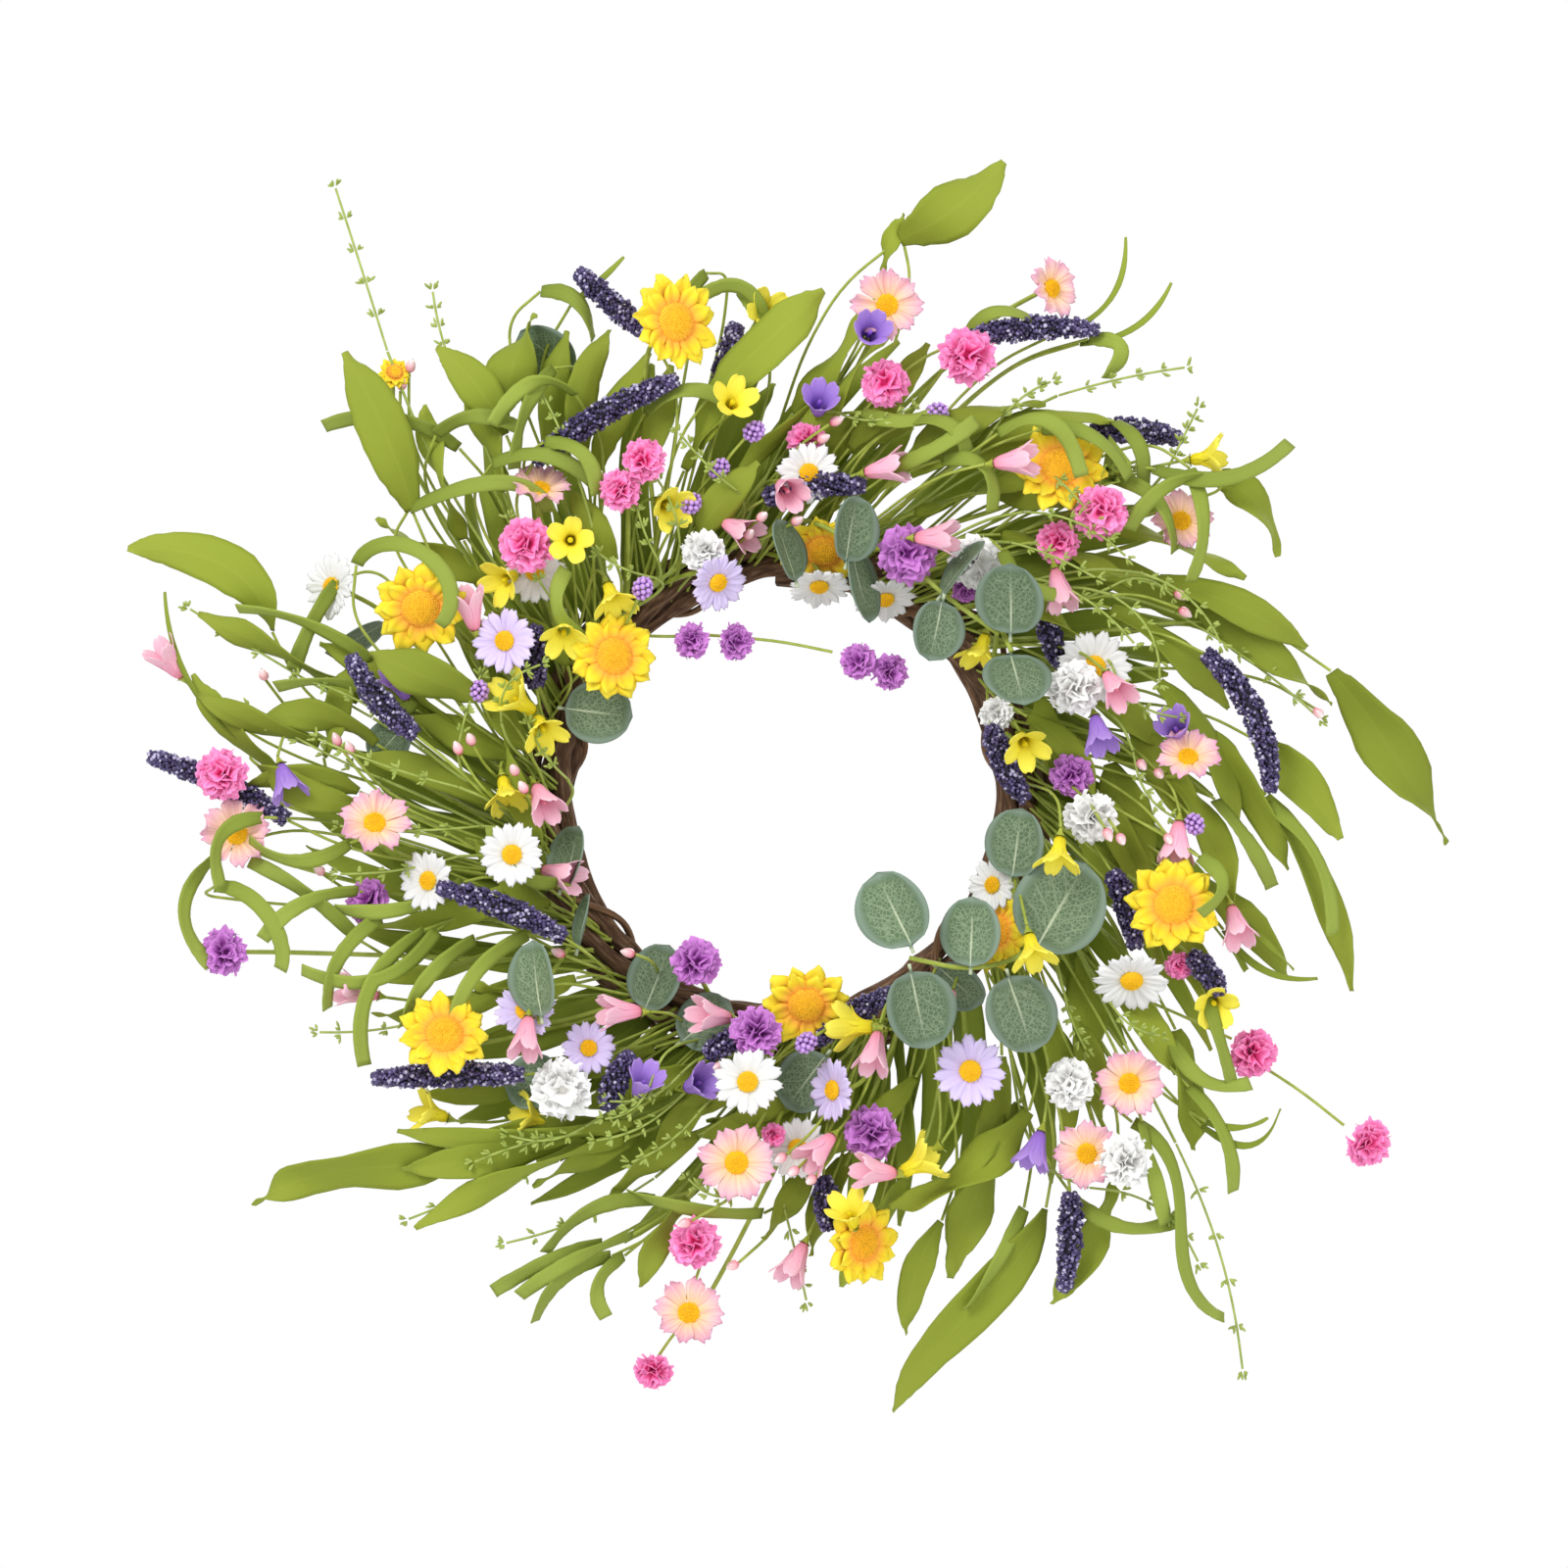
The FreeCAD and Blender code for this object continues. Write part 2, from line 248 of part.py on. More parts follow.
# Strap leaves: turn about the midrib at the foot and at the tip (degrees), then the route.
STRAPS = [
    (20, 50, (-106, 196, 40), (-118, 178, 50), (-124, 150, 46)),
    (-30, 20, (-160, 166, 34), (-140, 174, 44), (-122, 169, 40)),
    (40, -20, (-172, 132, 36), (-148, 141, 46), (-116, 140, 50), (-108, 130, 46)),
    (60, 10, (-96, 184, 44), (-108, 190, 50), (-134, 170, 46)),
    (10, 45, (-110, 162, 50), (-92, 156, 58), (-86, 138, 54)),
    (30, 0, (-134, 152, 46), (-110, 156, 54), (-88, 144, 50)),
    (15, 35, (-150, 160, 28), (-184, 174, 34), (-212, 170, 26)),
    (-20, 40, (-196, 106, 52), (-172, 114, 62), (-154, 98, 64), (-158, 78, 60)),
    (20, 60, (-112, 232, 26), (-96, 228, 34), (-88, 210, 30)),
    (30, -10, (-36, 240, 30), (-46, 226, 38), (-50, 206, 34)),
    (45, 10, (-8, 216, 30), (-22, 234, 36), (-38, 230, 32)),
    (15, 40, (-20, 232, 26), (-10, 218, 32), (-4, 204, 28)),
    (30, 60, (-190, 62, 30), (-222, 80, 34), (-252, 86, 26)),
    (20, 50, (-170, 40, 30), (-205, 52, 38), (-234, 50, 30)),
    (35, 5, (-206, 98, 26), (-218, 78, 30), (-226, 58, 24)),
    (60, 20, (-262, -28, 26), (-276, -52, 32), (-264, -78, 26)),
    (10, 50, (-240, -10, 34), (-258, -18, 42), (-259, -42, 38)),
    (25, -20, (-262, -42, 30), (-244, -48, 38), (-232, -66, 36), (-232, -80, 30)),
    (35, 10, (-196, -66, 30), (-224, -42, 36), (-246, -30, 30)),
    (15, 45, (-160, -62, 34), (-186, -84, 42), (-222, -80, 34)),
    (50, 0, (-166, -62, 36), (-192, -92, 42), (-193, -124, 34)),
    (20, 60, (-142, -66, 38), (-164, -84, 46), (-176, -106, 40)),
    (10, 40, (-118, -64, 44), (-142, -82, 52), (-152, -104, 46)),
    (30, 0, (-84, -206, 26), (-108, -214, 34), (-134, -228, 28)),
    (55, 20, (-70, -202, 30), (-98, -214, 36), (-122, -230, 30)),
    (20, 60, (-80, -212, 26), (-102, -222, 32), (-115, -242, 26)),
    (35, 5, (-74, -212, 24), (-86, -228, 30), (-82, -240, 26)),
    (15, 45, (-60, -186, 30), (-88, -190, 38), (-110, -210, 32)),
    (30, 60, (-10, -192, 30), (-42, -190, 38), (-72, -182, 32)),
    (20, 60, (160, -150, 44), (181, -184, 50), (184, -218, 44), (202, -240, 34)),
    (50, 10, (164, -150, 48), (170, -176, 54), (175, -196, 46)),
    (35, 10, (178, -112, 34), (196, -132, 42), (214, -132, 36)),
    (10, 50, (194, -92, 36), (201, -116, 42), (206, -134, 36)),
    (40, 10, (134, -186, 36), (156, -198, 44), (182, -194, 38)),
    (25, 60, (110, -190, 28), (96, -218, 34), (84, -236, 28)),
    (20, 55, (150, 146, 40), (172, 134, 48), (179, 112, 42)),
    (35, 5, (170, 150, 42), (204, 146, 52), (232, 162, 42)),
    (60, 20, (196, 146, 44), (176, 142, 54), (158, 122, 48)),
    (15, 50, (186, 150, 44), (192, 122, 52), (186, 98, 44)),
    (30, 0, (160, 150, 40), (148, 146, 50), (152, 164, 44)),
    (20, 45, (190, -28, 60), (200, -42, 68), (190, -54, 66)),
    (40, 10, (198, -2, 36), (216, -26, 44), (224, -42, 36)),
    (15, 50, (222, -4, 30), (242, -24, 38), (252, -64, 28)),
    (30, 0, (48, 150, 48), (74, 162, 56), (88, 172, 50)),
    (55, 15, (58, 172, 46), (78, 168, 54), (84, 152, 48)),
    (20, 50, (72, 154, 50), (92, 150, 58), (95, 130, 52)),
    (35, -10, (98, 166, 58), (118, 172, 66), (136, 146, 62)),
    (10, 45, (118, 168, 50), (138, 166, 58), (158, 146, 52)),
    (50, 10, (152, 172, 34), (162, 162, 42), (164, 140, 36)),
    (30, 60, (84, 212, 34), (96, 222, 40), (118, 216, 36)),
    (15, 45, (140, 210, 30), (154, 206, 36), (148, 192, 30)),
    (35, 5, (36, 176, 40), (54, 172, 48), (72, 176, 42)),
    (20, 50, (-200, -22, 36), (-224, -30, 42), (-246, -20, 34)),
    (35, 10, (-196, -44, 34), (-222, -50, 40), (-240, -66, 32)),
    (10, 50, (-186, -56, 36), (-206, -78, 42), (-210, -98, 34)),
    (20, 50, (186, -134, 38), (202, -156, 44), (206, -182, 36)),
    (40, 5, (-104, -40, 46), (-122, -36, 54), (-134, -14, 48)),
    (15, 50, (100, 112, 52), (112, 96, 60), (130, 92, 54)),
    (30, 0, (-92, 72, 50), (-104, 86, 58), (-100, 104, 52)),
    (15, 45, (-148, -40, 34), (-176, -52, 42), (-206, -52, 34)),
    (40, 10, (-64, 176, 40), (-44, 186, 48), (-24, 180, 42)),
]
# Grass blades: turn at the foot and at the tip, then the route; narrower than the straps.
GRASSES = [
    (20, 50, (124, 212, 28), (148, 226, 34), (157, 257, 26)),
    (40, 10, (136, 208, 28), (162, 216, 34), (178, 236, 26)),
    (60, 20, (-236, 14, 14), (-276, 55, 16), (-286, 94, 10)),
    (30, 60, (192, -152, 34), (216, -160, 40), (228, -144, 32)),
    (15, 45, (194, -150, 36), (212, -152, 42), (222, -148, 36)),
    (40, 15, (202, -62, 34), (220, -80, 40), (245, -84, 32)),
    (20, 60, (210, -58, 34), (224, -70, 40), (234, -80, 34)),
    (30, 10, (-98, 226, 26), (-86, 236, 30), (-74, 248, 24)),
]
# Sprigs: foot, middle and tip, each x, z and depth.
SPRIGS = [
    ((-183, 205, 22), (-194, 240, 20), (-207, 280, 14)), ((-150, 190, 26), (-158, 212, 26), (-162, 232, 22)),
    ((126, 184, 34), (156, 192, 34), (184, 197, 28)), ((180, -160, 34), (202, -216, 30), (211, -264, 20)),
    ((-160, -102, 30), (-190, -108, 28), (-214, -109, 20)),
    ((-104, -168, 30), (-140, -182, 28), (-173, -195, 20)),
    ((-190, 36, 22), (-235, 62, 22), (-274, 86, 14)), ((0, -190, 34), (6, -214, 34), (10, -232, 28)),
    ((-60, -128, 56), (-70, -144, 58), (-82, -148, 54)), ((150, 96, 40), (162, 100, 44), (178, 92, 40)),
    ((-186, 8, 26), (-216, 22, 28), (-246, 40, 22)), ((-60, 100, 48), (-84, 110, 54), (-96, 124, 50)),
    ((-150, 20, 44), (-144, 44, 50), (-136, 62, 46)), ((96, 168, 44), (108, 182, 46), (122, 190, 42)),
    ((24, 176, 40), (40, 172, 46), (58, 178, 42)), ((180, 84, 30), (214, 62, 32), (246, 36, 22)),
    ((140, -180, 40), (170, -188, 42), (190, -214, 34)),
    ((-100, -156, 44), (-120, -160, 46), (-142, -168, 40)),
    ((-18, -182, 44), (-30, -184, 48), (-44, -176, 44)), ((160, 20, 44), (170, -4, 48), (184, -12, 44)),
    ((-96, 150, 48), (-104, 170, 48), (-112, 186, 42)), ((-60, -176, 30), (-96, -196, 30), (-128, -206, 22)),
    ((-150, -28, 40), (-176, -34, 44), (-204, -36, 36)), ((176, 150, 30), (184, 166, 30), (190, 178, 24)),
    ((-48, -128, 50), (-62, -138, 56), (-80, -140, 52)), ((-52, -142, 48), (-66, -152, 54), (-86, -158, 50)),
    ((-40, -146, 50), (-52, -158, 54), (-70, -168, 48)),
    ((-92, -152, 46), (-108, -158, 50), (-126, -156, 46)),
    ((-108, 92, 48), (-118, 108, 56), (-126, 126, 50)), ((-58, 108, 46), (-66, 126, 54), (-70, 146, 50)),
    ((-48, 116, 44), (-52, 134, 52), (-62, 150, 48)), ((-22, 140, 48), (-34, 150, 54), (-48, 166, 50)),
    ((104, 116, 50), (122, 110, 60), (142, 100, 58)), ((110, 130, 52), (132, 126, 62), (156, 110, 56)),
    ((128, 96, 50), (146, 84, 58), (160, 70, 54)), ((120, 150, 52), (132, 138, 62), (148, 120, 60)),
    ((150, 92, 48), (168, 74, 56), (172, 52, 52)), ((164, 102, 46), (186, 90, 54), (200, 70, 48)),
    ((150, 60, 46), (162, 42, 54), (180, 36, 48)), ((-150, 4, 44), (-184, 14, 48), (-214, 26, 40)),
    ((-140, -14, 42), (-172, -16, 46), (-204, -14, 36)), ((-166, 22, 36), (-196, 44, 40), (-222, 54, 34)),
    ((150, -96, 48), (160, -106, 54), (172, -110, 48)), ((128, -90, 50), (132, -104, 56), (138, -116, 50)),
    ((-130, 34, 48), (-126, 52, 56), (-112, 60, 54)), ((-100, 8, 44), (-112, 22, 52), (-120, 40, 50)),
]
# Pink pip buds and lilac berry heads: x, z, depth.
BUDS = [
    (-172, 198, 24), (-176, 190, 22), (24, 172, 46), (18, 164, 44), (-10, 128, 54), (-16, 120, 52),
    (6, 126, 56), (182, 92, 40), (184, 84, 42), (148, -18, 66), (154, -20, 64), (172, 10, 44),
    (164, 14, 46), (-200, 22, 34), (-206, 26, 32), (-150, 22, 48), (-144, 26, 48), (-240, 56, 22),
    (-124, 12, 50), (-120, 4, 50), (-72, -72, 46), (-104, -72, 44), (-2, -166, 60), (4, -172, 58),
    (12, -176, 58), (-30, -124, 56), (76, -92, 56), (-46, -196, 50), (-24, -216, 34), (246, 38, 24),
    (176, -20, 56), (-214, -34, 34),
]
BERRIES = [
    (-14, 167, 52), (-43, 134, 46), (-65, 95, 56), (10, -113, 60), (188, -13, 50), (-140, 48, 50),
    (-30, 150, 44), (70, 176, 42),
]
# Eucalyptus twigs: routes that the leaves sit along, each x, z and depth.
EUCALYPTUS_ROUTES = [
    ((112, -22, 7), (124, -50, 48), (110, -74, 62), (84, -80, 68), (57, -74, 72)),
    ((96, 58, 7), (98, 80, 44), (102, 70, 60), (104, 66, 62)),
    ((57, 96, 7), (54, 112, 40), (70, 94, 56), (98, 74, 62)),
    ((0, 112, 7), (6, 128, 40), (22, 122, 52), (34, 112, 52)),
    ((-94, -62, 7), (-114, -92, 40), (-112, -104, 58)),
    ((-50, -98, 7), (-58, -104, 18), (-66, -98, 28)),
]
# The thin wires that carry blossoms away from the ring, each x, z and depth.
LONG_WIRES = [
    ((-94, 58, 7), (-76, 74, 34), (-52, 73, 36), (-36, 74, 34), (-2, 71, 38), (22, 66, 40)),
    ((98, -52, 7), (140, -84, 22), (176, -98, 24), (206, -112, 18)), ((216, -122, 12), (238, -136, 14), (258, -152, 14)),
    ((-38, -214, 32), (-42, -226, 30), (-46, -232, 28)), ((-48, -244, 28), (-54, -252, 24), (-58, -258, 22)),
    ((50, 206, 24), (56, 226, 22), (58, 240, 22), (55, 254, 22)),
]


doc = FreeCAD.newDocument("flower_wreath")
sheet = doc.addObject("Spreadsheet::Sheet", "Dimensions")
for row, (name, value) in enumerate(DIMENSIONS.items(), start=1):
    sheet.set(f"A{row}", name)
    sheet.set(f"B{row}", str(value))
    sheet.setAlias(f"B{row}", name)
doc.recompute()


def size(name):
    """A driving dimension, read back from the sheet."""
    return float(sheet.get(name))


def bound(text):
    """An expression in sheet names, with the sheet's own name put before each alias."""
    words = sorted(DIMENSIONS, key=len, reverse=True)
    out, position = "", 0
    while position < len(text):
        word = next((w for w in words if text.startswith(w, position)), None)
        out += f"Dimensions.{word}" if word else text[position]
        position += len(word) if word else 1
    return out


def outline(body, name, plane, points):
    """A closed polygon on one of the body's own planes, each corner held by two bound distances."""
    sketch = body.newObject("Sketcher::SketchObject", name)
    own_plane = next(part for part in body.Origin.OriginFeatures if part.Role == plane)
    sketch.AttachmentSupport = [(own_plane, "")]
    sketch.MapMode = "FlatFace"
    corners = [tuple(bound(text) for text in pair) for pair in points]
    spots = [Vector(sheet.evalExpression(a), sheet.evalExpression(b), 0) for a, b in corners]
    count = len(spots)
    sketch.addGeometry([Part.LineSegment(spots[i], spots[(i + 1) % count]) for i in range(count)], False)
    for i in range(count):
        sketch.addConstraint(Sketcher.Constraint("Coincident", i, 2, (i + 1) % count, 1))
    for i, (across, up) in enumerate(corners):
        for kind, text, value in (("DistanceX", across, spots[i].x), ("DistanceY", up, spots[i].y)):
            index = sketch.addConstraint(Sketcher.Constraint(kind, -1, 1, i, 1, value))
            sketch.setExpression(f"Constraints[{index}]", text)
    doc.recompute()
    return sketch


def revolved(name, points):
    """A body turned about its own Z axis from a bound outline in the XZ plane."""
    body = doc.addObject("PartDesign::Body", name)
    turned = body.newObject("PartDesign::Revolution", f"{name}_turned")
    sketch = outline(body, f"{name}_outline", "XZ_Plane", points)
    turned.Profile = sketch
    turned.ReferenceAxis = (sketch, ["V_Axis"])
    turned.Angle = 360
    body.Tip = turned
    doc.recompute()
    return body


def cut_gaps(body, count, root, reach, gap, point):
    """Cuts the gaps between petals from a turned body: one pocket, repeated round the axis."""
    half_pitch = f"pi*({reach})/{count}"
    narrow, wide = f"({half_pitch})*({gap})", f"({half_pitch})*({point})"
    waist, rim = f"({root})*0.3+({reach})*0.7", f"({reach})*1.03"
    corners = [(root, "0"), (waist, f"-({narrow})"), (rim, f"-({wide})"), (rim, wide), (waist, narrow)]
    whole = body.Shape.Volume
    sketch = outline(body, f"{body.Name}_gap_outline", "XY_Plane", corners)
    pocket = body.newObject("PartDesign::Pocket", f"{body.Name}_gap")
    pocket.Profile = sketch
    pocket.Type = "ThroughAll"
    pocket.SideType = "Symmetric"
    doc.recompute()
    pattern = body.newObject("PartDesign::PolarPattern", f"{body.Name}_gaps")
    pattern.Originals = [pocket]
    pattern.Axis = (sketch, ["N_Axis"])
    pattern.Angle = 360
    pattern.setExpression("Occurrences", bound(count))
    body.Tip = pattern
    doc.recompute()
    if not body.Shape.Volume < whole:
        raise RuntimeError(f"{body.Name}: the gaps cut nothing")
    return body


def whorl(name, kind, reach, rise):
    """One layer of petals: a flat hub with a cupped rim, open between the petals."""
    hub, gauge = f"{kind}_hub", "petal_gauge"
    points = [("0", "0"), (hub, "0"), (reach, rise), (reach, f"{rise}+{gauge}"), (hub, gauge), ("0", gauge)]
    body = revolved(name, points)
    return cut_gaps(body, f"{kind}_petals", f"{kind}_root", reach, "petal_gap", f"{kind}_point")


def bell(name, kind):
    """A trumpet flower: a hollow flared cup with its mouth cut into petals."""
    mouth, belly, length = f"{kind}_mouth", f"{kind}_belly", f"{kind}_length"
    points = [
        ("0", "0"), ("bell_neck", "0"), (belly, f"{length}*0.45"), (mouth, length),
        (f"{mouth}-petal_gauge", f"{length}+petal_gauge*0.6"),
        (f"{belly}-petal_gauge", f"{length}*0.45+petal_gauge"), ("0", f"{length}*0.2"),
    ]
    body = revolved(name, points)
    return cut_gaps(body, f"{kind}_petals", f"{belly}*1.1", mouth, "petal_gap", "0.55")


def carnation(name):
    """The outer shape of a ruffled head, from its neck to its crown."""
    full = "ruffle_radius"
    points = [
        ("0", "0"), ("ruffle_neck", "0"), (f"{full}*0.8", f"{full}*0.25"), (full, f"{full}*0.6"),
        (f"{full}*0.88", f"{full}*0.95"), (f"{full}*0.5", f"{full}*1.15"), ("0", f"{full}*1.2"),
    ]
    return revolved(name, points)


def cap(name, radius, height):
    """The domed disc of a flower: a slice of a sphere on a flat base."""
    ball = doc.addObject("Part::Sphere", name)
    whole = f"(({radius})^2+({height})^2)/(2*({height}))"
    ball.setExpression("Radius", bound(f"{whole}*1mm"))
    ball.setExpression("Angle1", bound(f"asin(({whole}-{height})/({whole}))"))
    ball.setExpression("Placement.Base.z", bound(f"{height}-{whole}"))
    return ball


def cup(name, neck, mouth, length):
    """A calyx: a cone that widens from the stem to the back of the petals."""
    cone = doc.addObject("Part::Cone", name)
    cone.setExpression("Radius1", bound(neck))
    cone.setExpression("Radius2", bound(mouth))
    cone.setExpression("Height", bound(length))
    cone.setExpression("Placement.Base.z", bound(f"-({length})"))
    return cone


def oval_leaf(name):
    """The round plate, centred on its own axis, that is stretched into each eucalyptus leaf."""
    plate = doc.addObject("Part::Cylinder", name)
    plate.setExpression("Radius", bound("eucalyptus_width/2"))
    plate.setExpression("Height", bound("eucalyptus_gauge"))
    return plate


def spot(x, z, depth):
    """A point in the part's frame from a place measured from the middle of the ring."""
    return Vector(x, -depth, z - RING_DROP)


def facing(point, direction, spin=0.0):
    """The placement that stands a head on a point with its face along a direction."""
    turn = Rotation(Vector(0, 0, 1), direction).multiply(Rotation(Vector(0, 0, 1), spin))
    return Placement(point, turn)


def placed(shape, placement, scale=1.0):
    """A copy of a solid at its own size, carried to its place."""
    copy = shape.copy() if scale == 1.0 else shape.scaled(scale)
    copy.Placement = placement.multiply(copy.Placement)
    return copy


def group(label, shapes):
    """One node of the assembly: the separate solids of one kind of piece."""
    node = doc.addObject("Part::Feature", label)
    node.Shape = Part.makeCompound(shapes)
    node.Label = label
    NODES.append(node)
    return node


def tube(points, radius):
    """A round tube along straight runs joined by tangent arcs as large as the runs allow."""
    edges, here = [], points[0]
    for before, corner, after in zip(points, points[1:], points[2:]):
        come, go = corner - before, after - corner
        reach = 0.45 * min(come.Length, go.Length)
        enter = corner - come.normalize() * reach
        leave = corner + go.normalize() * reach
        half_turn = come.getAngle(go) / 2
        inward = (go - come).normalize()
        sagitta = reach / math.tan(half_turn) * (1 - math.cos(half_turn))
        middle = (enter + leave) * 0.5 - inward * sagitta
        edges.append(Part.LineSegment(here, enter).toShape())
        edges.append(Part.Arc(enter, middle, leave).toShape())
        here = leave
    edges.append(Part.LineSegment(here, points[-1]).toShape())
    path = Part.Wire(edges)
    circle = Part.Wire([Part.Circle(points[0], points[1] - points[0], radius).toShape()])
    solid = path.makePipeShell([circle], True, False)
    expected = math.pi * radius ** 2 * path.Length
    if abs(solid.Volume - expected) > 0.03 * expected:
        raise RuntimeError(f"tube volume {solid.Volume:.1f} is not {expected:.1f}")
    return solid


def ring_point(angle, lay, lay_radius):
    """A point of a strand laid round the ring: angle along the ring, lay round its section."""
    reach = size("ring_radius") + lay_radius * math.cos(lay)
    return spot(reach * math.cos(angle), reach * math.sin(angle), lay_radius * math.sin(lay))


def strand(radius, lay_radius, lay_turns, lay_start, start, sweep, count):
    """A cane or a binding laid round the ring as a tube, from its first cut end to its last."""
    points = []
    for index in range(count + 1):
        along = start + sweep * index / count
        lay = lay_start + lay_turns * (along - math.pi / 2)
        points.append(ring_point(along, lay, lay_radius))
    return tube(points, radius)


def make_ring():
    """The core cane, the outer canes laid round it and the thin vine that binds them."""
    lay, sweep = size("lay_radius"), math.radians(size("cane_sweep"))
    steps = round(size("cane_sweep") / size("cane_step"))
    count = int(size("cane_count"))
    group("vine_core", [strand(size("core_radius"), 0.0, 0.0, 0.0, math.radians(200), sweep, steps)])
    for index in range(count):
        radius = size("cane_radius") * (1 - size("cane_thinning") * (index % 2) * 0.5)
        turn = 2 * math.pi * index / count
        cane = strand(radius, lay, size("lay_turns"), math.pi + turn, math.radians(110) + turn, sweep, steps)
        group(f"vine_cane_{index + 1}", [cane])
    turns = int(size("binding_turns"))
    clear = lay + size("cane_radius") + size("binding_radius") + size("binding_gap")
    corner = clear / math.cos(math.pi / 8)
    wrap = strand(size("binding_radius"), corner, turns, 0.0, math.radians(96), math.radians(348), 8 * turns)
    group("vine_binding", [wrap])


def stem_route(head, back, index):
    """The route of a stem: from among the canes, clockwise and outward, then up to a head."""
    x, z = head.x, head.z + RING_DROP
    distance, angle = math.hypot(x, z), math.atan2(z, x)
    lead = size("stem_lead") + size("stem_lead_step") * (index % 4)
    lead += size("stem_lead_growth") * abs(distance - size("ring_radius"))
    start = angle + math.radians(lead)
    root_radius = size("ring_radius") + size("stem_scatter") * math.sin(2.4 * index)
    root = spot(root_radius * math.cos(start), root_radius * math.sin(start), size("stem_root_depth"))
    span = (head - root).Length
    forward = size("stem_launch") + size("stem_launch_sway") * math.cos(1.7 * index)
    launch = (head - root).normalize() + Vector(0, -forward, 0)
    pull = size("stem_pull") * span
    leave, arrive = root + launch * pull, head + back * pull
    shares = [step / STEM_RUNS for step in range(STEM_RUNS + 1)]
    return [root * (1 - t) ** 3 + leave * 3 * t * (1 - t) ** 2 + arrive * 3 * t ** 2 * (1 - t) + head * t ** 3
            for t in shares]


def stems(label, heads, radius):
    """The stems of one kind of flower; each head is the point and the way back along its axis."""
    group(label, [tube(stem_route(point, back, i), radius) for i, (point, back) in enumerate(heads)])


def make_flowers(label, places, layers, centre, calyx):
    """Open flowers: petal layers, domed discs, calyxes and stems, each a node of its own."""
    posed = []
    for index, (x, z, depth, right, up, scale) in enumerate(places):
        direction = Vector(right, -1, up).normalize()
        posed.append((facing(spot(x, z, depth), direction, 17.0 * index), direction, scale))
    for suffix, layer, lift, spin in layers:
        offset = Placement(Vector(0, 0, lift), Rotation(Vector(0, 0, 1), spin))
        group(f"{label}_{suffix}", [placed(layer.Shape, pose.multiply(offset), scale)
                                    for pose, _, scale in posed])
    top = layers[-1][2] + size("petal_gauge") + CLEARANCE
    seat = Placement(Vector(0, 0, top), Rotation())
    group(f"{label}_centres", [placed(centre.Shape, pose.multiply(seat), scale) for pose, _, scale in posed])
    under = Placement(Vector(0, 0, -CLEARANCE), Rotation())
    group(f"{label}_calyxes", [placed(calyx.Shape, pose.multiply(under), scale) for pose, _, scale in posed])
    back_off = size("calyx_length") + 2 * CLEARANCE
    stems(f"{label}_stems", [(pose.Base - way * back_off * scale, way * -1) for pose, way, scale in posed],
          size("stem_radius"))


def make_carnations():
    """Ruffled heads in three colours, with one node of calyxes and one of stems for all of them."""
    head = carnation("carnation_master")
    calyx = cup("carnation_calyx_master", "calyx_neck", "ruffle_neck", "calyx_length")
    doc.recompute()
    calyxes, heads = [], []
    colours = {"pink": PINK_CARNATIONS, "white": WHITE_CARNATIONS, "purple": PURPLE_CARNATIONS}
    for colour, places in colours.items():
        blooms = []
        for index, (x, z, depth, right, up, scale) in enumerate(places):
            direction = Vector(right, -1, up).normalize()
            pose = facing(spot(x, z, depth - size("ruffle_radius") * 0.6 * scale), direction, 40.0 * index)
            blooms.append(placed(head.Shape, pose, scale))
            under = Placement(Vector(0, 0, -CLEARANCE), Rotation())
            calyxes.append(placed(calyx.Shape, pose.multiply(under), scale))
            on_wire = any(abs(x - wx) < 2 and abs(z - wz) < 2 for wx, wz in WIRED_HEADS)
            if not on_wire:
                foot = pose.Base - direction * (size("calyx_length") + 2 * CLEARANCE) * scale
                heads.append((foot, direction * -1))
        group(f"carnation_{colour}_heads", blooms)
    group("carnation_calyxes", calyxes)
    stems("carnation_stems", heads, size("stem_radius"))
    group("carnation_wires", [tube([spot(*p) for p in route], size("fine_stem_radius"))
                              for route in LONG_WIRES])


def make_bells():
    """Trumpet flowers in three kinds, with one node of cups and one of stems for all of them."""
    cup_master = cup("bell_cup_master", "calyx_neck*0.8", "bell_cup", "bell_cup_length")
    masters = {kind: bell(f"{kind}_master", kind) for kind in ("forsythia", "tulip", "crocus")}
    doc.recompute()
    cups, heads = [], []
    for kind, places in (("forsythia", YELLOW_BELLS), ("tulip", PINK_BELLS), ("crocus", LILAC_BELLS)):
        half = size(f"{kind}_length") / 2
        blooms = []
        for index, (x, z, depth, right, up, front) in enumerate(places):
            direction = Vector(right, -front, up).normalize()
            pose = facing(spot(x, z, depth) - direction * half, direction, 25.0 * index)
            blooms.append(placed(masters[kind].Shape, pose))
            under = Placement(Vector(0, 0, -CLEARANCE), Rotation())
            cups.append(placed(cup_master.Shape, pose.multiply(under)))
            heads.append((pose.Base - direction * (size("bell_cup_length") + 2 * CLEARANCE), direction * -1))
        group(f"{kind}_bells", blooms)
    group("bell_cups", cups)
    stems("bell_stems", heads, size("fine_stem_radius"))


def midrib(route):
    """A smooth curve through the points of a route given from the middle of the ring."""
    curve = Part.BSplineCurve()
    curve.interpolate([spot(*point) for point in route])
    return curve


def stations(curve, count):
    """Evenly spaced points and unit tangents along a curve."""
    parameters = [curve.FirstParameter + (curve.LastParameter - curve.FirstParameter) * i / (count - 1)
                  for i in range(count)]
    return [(curve.value(p), curve.tangent(p)[0]) for p in parameters]


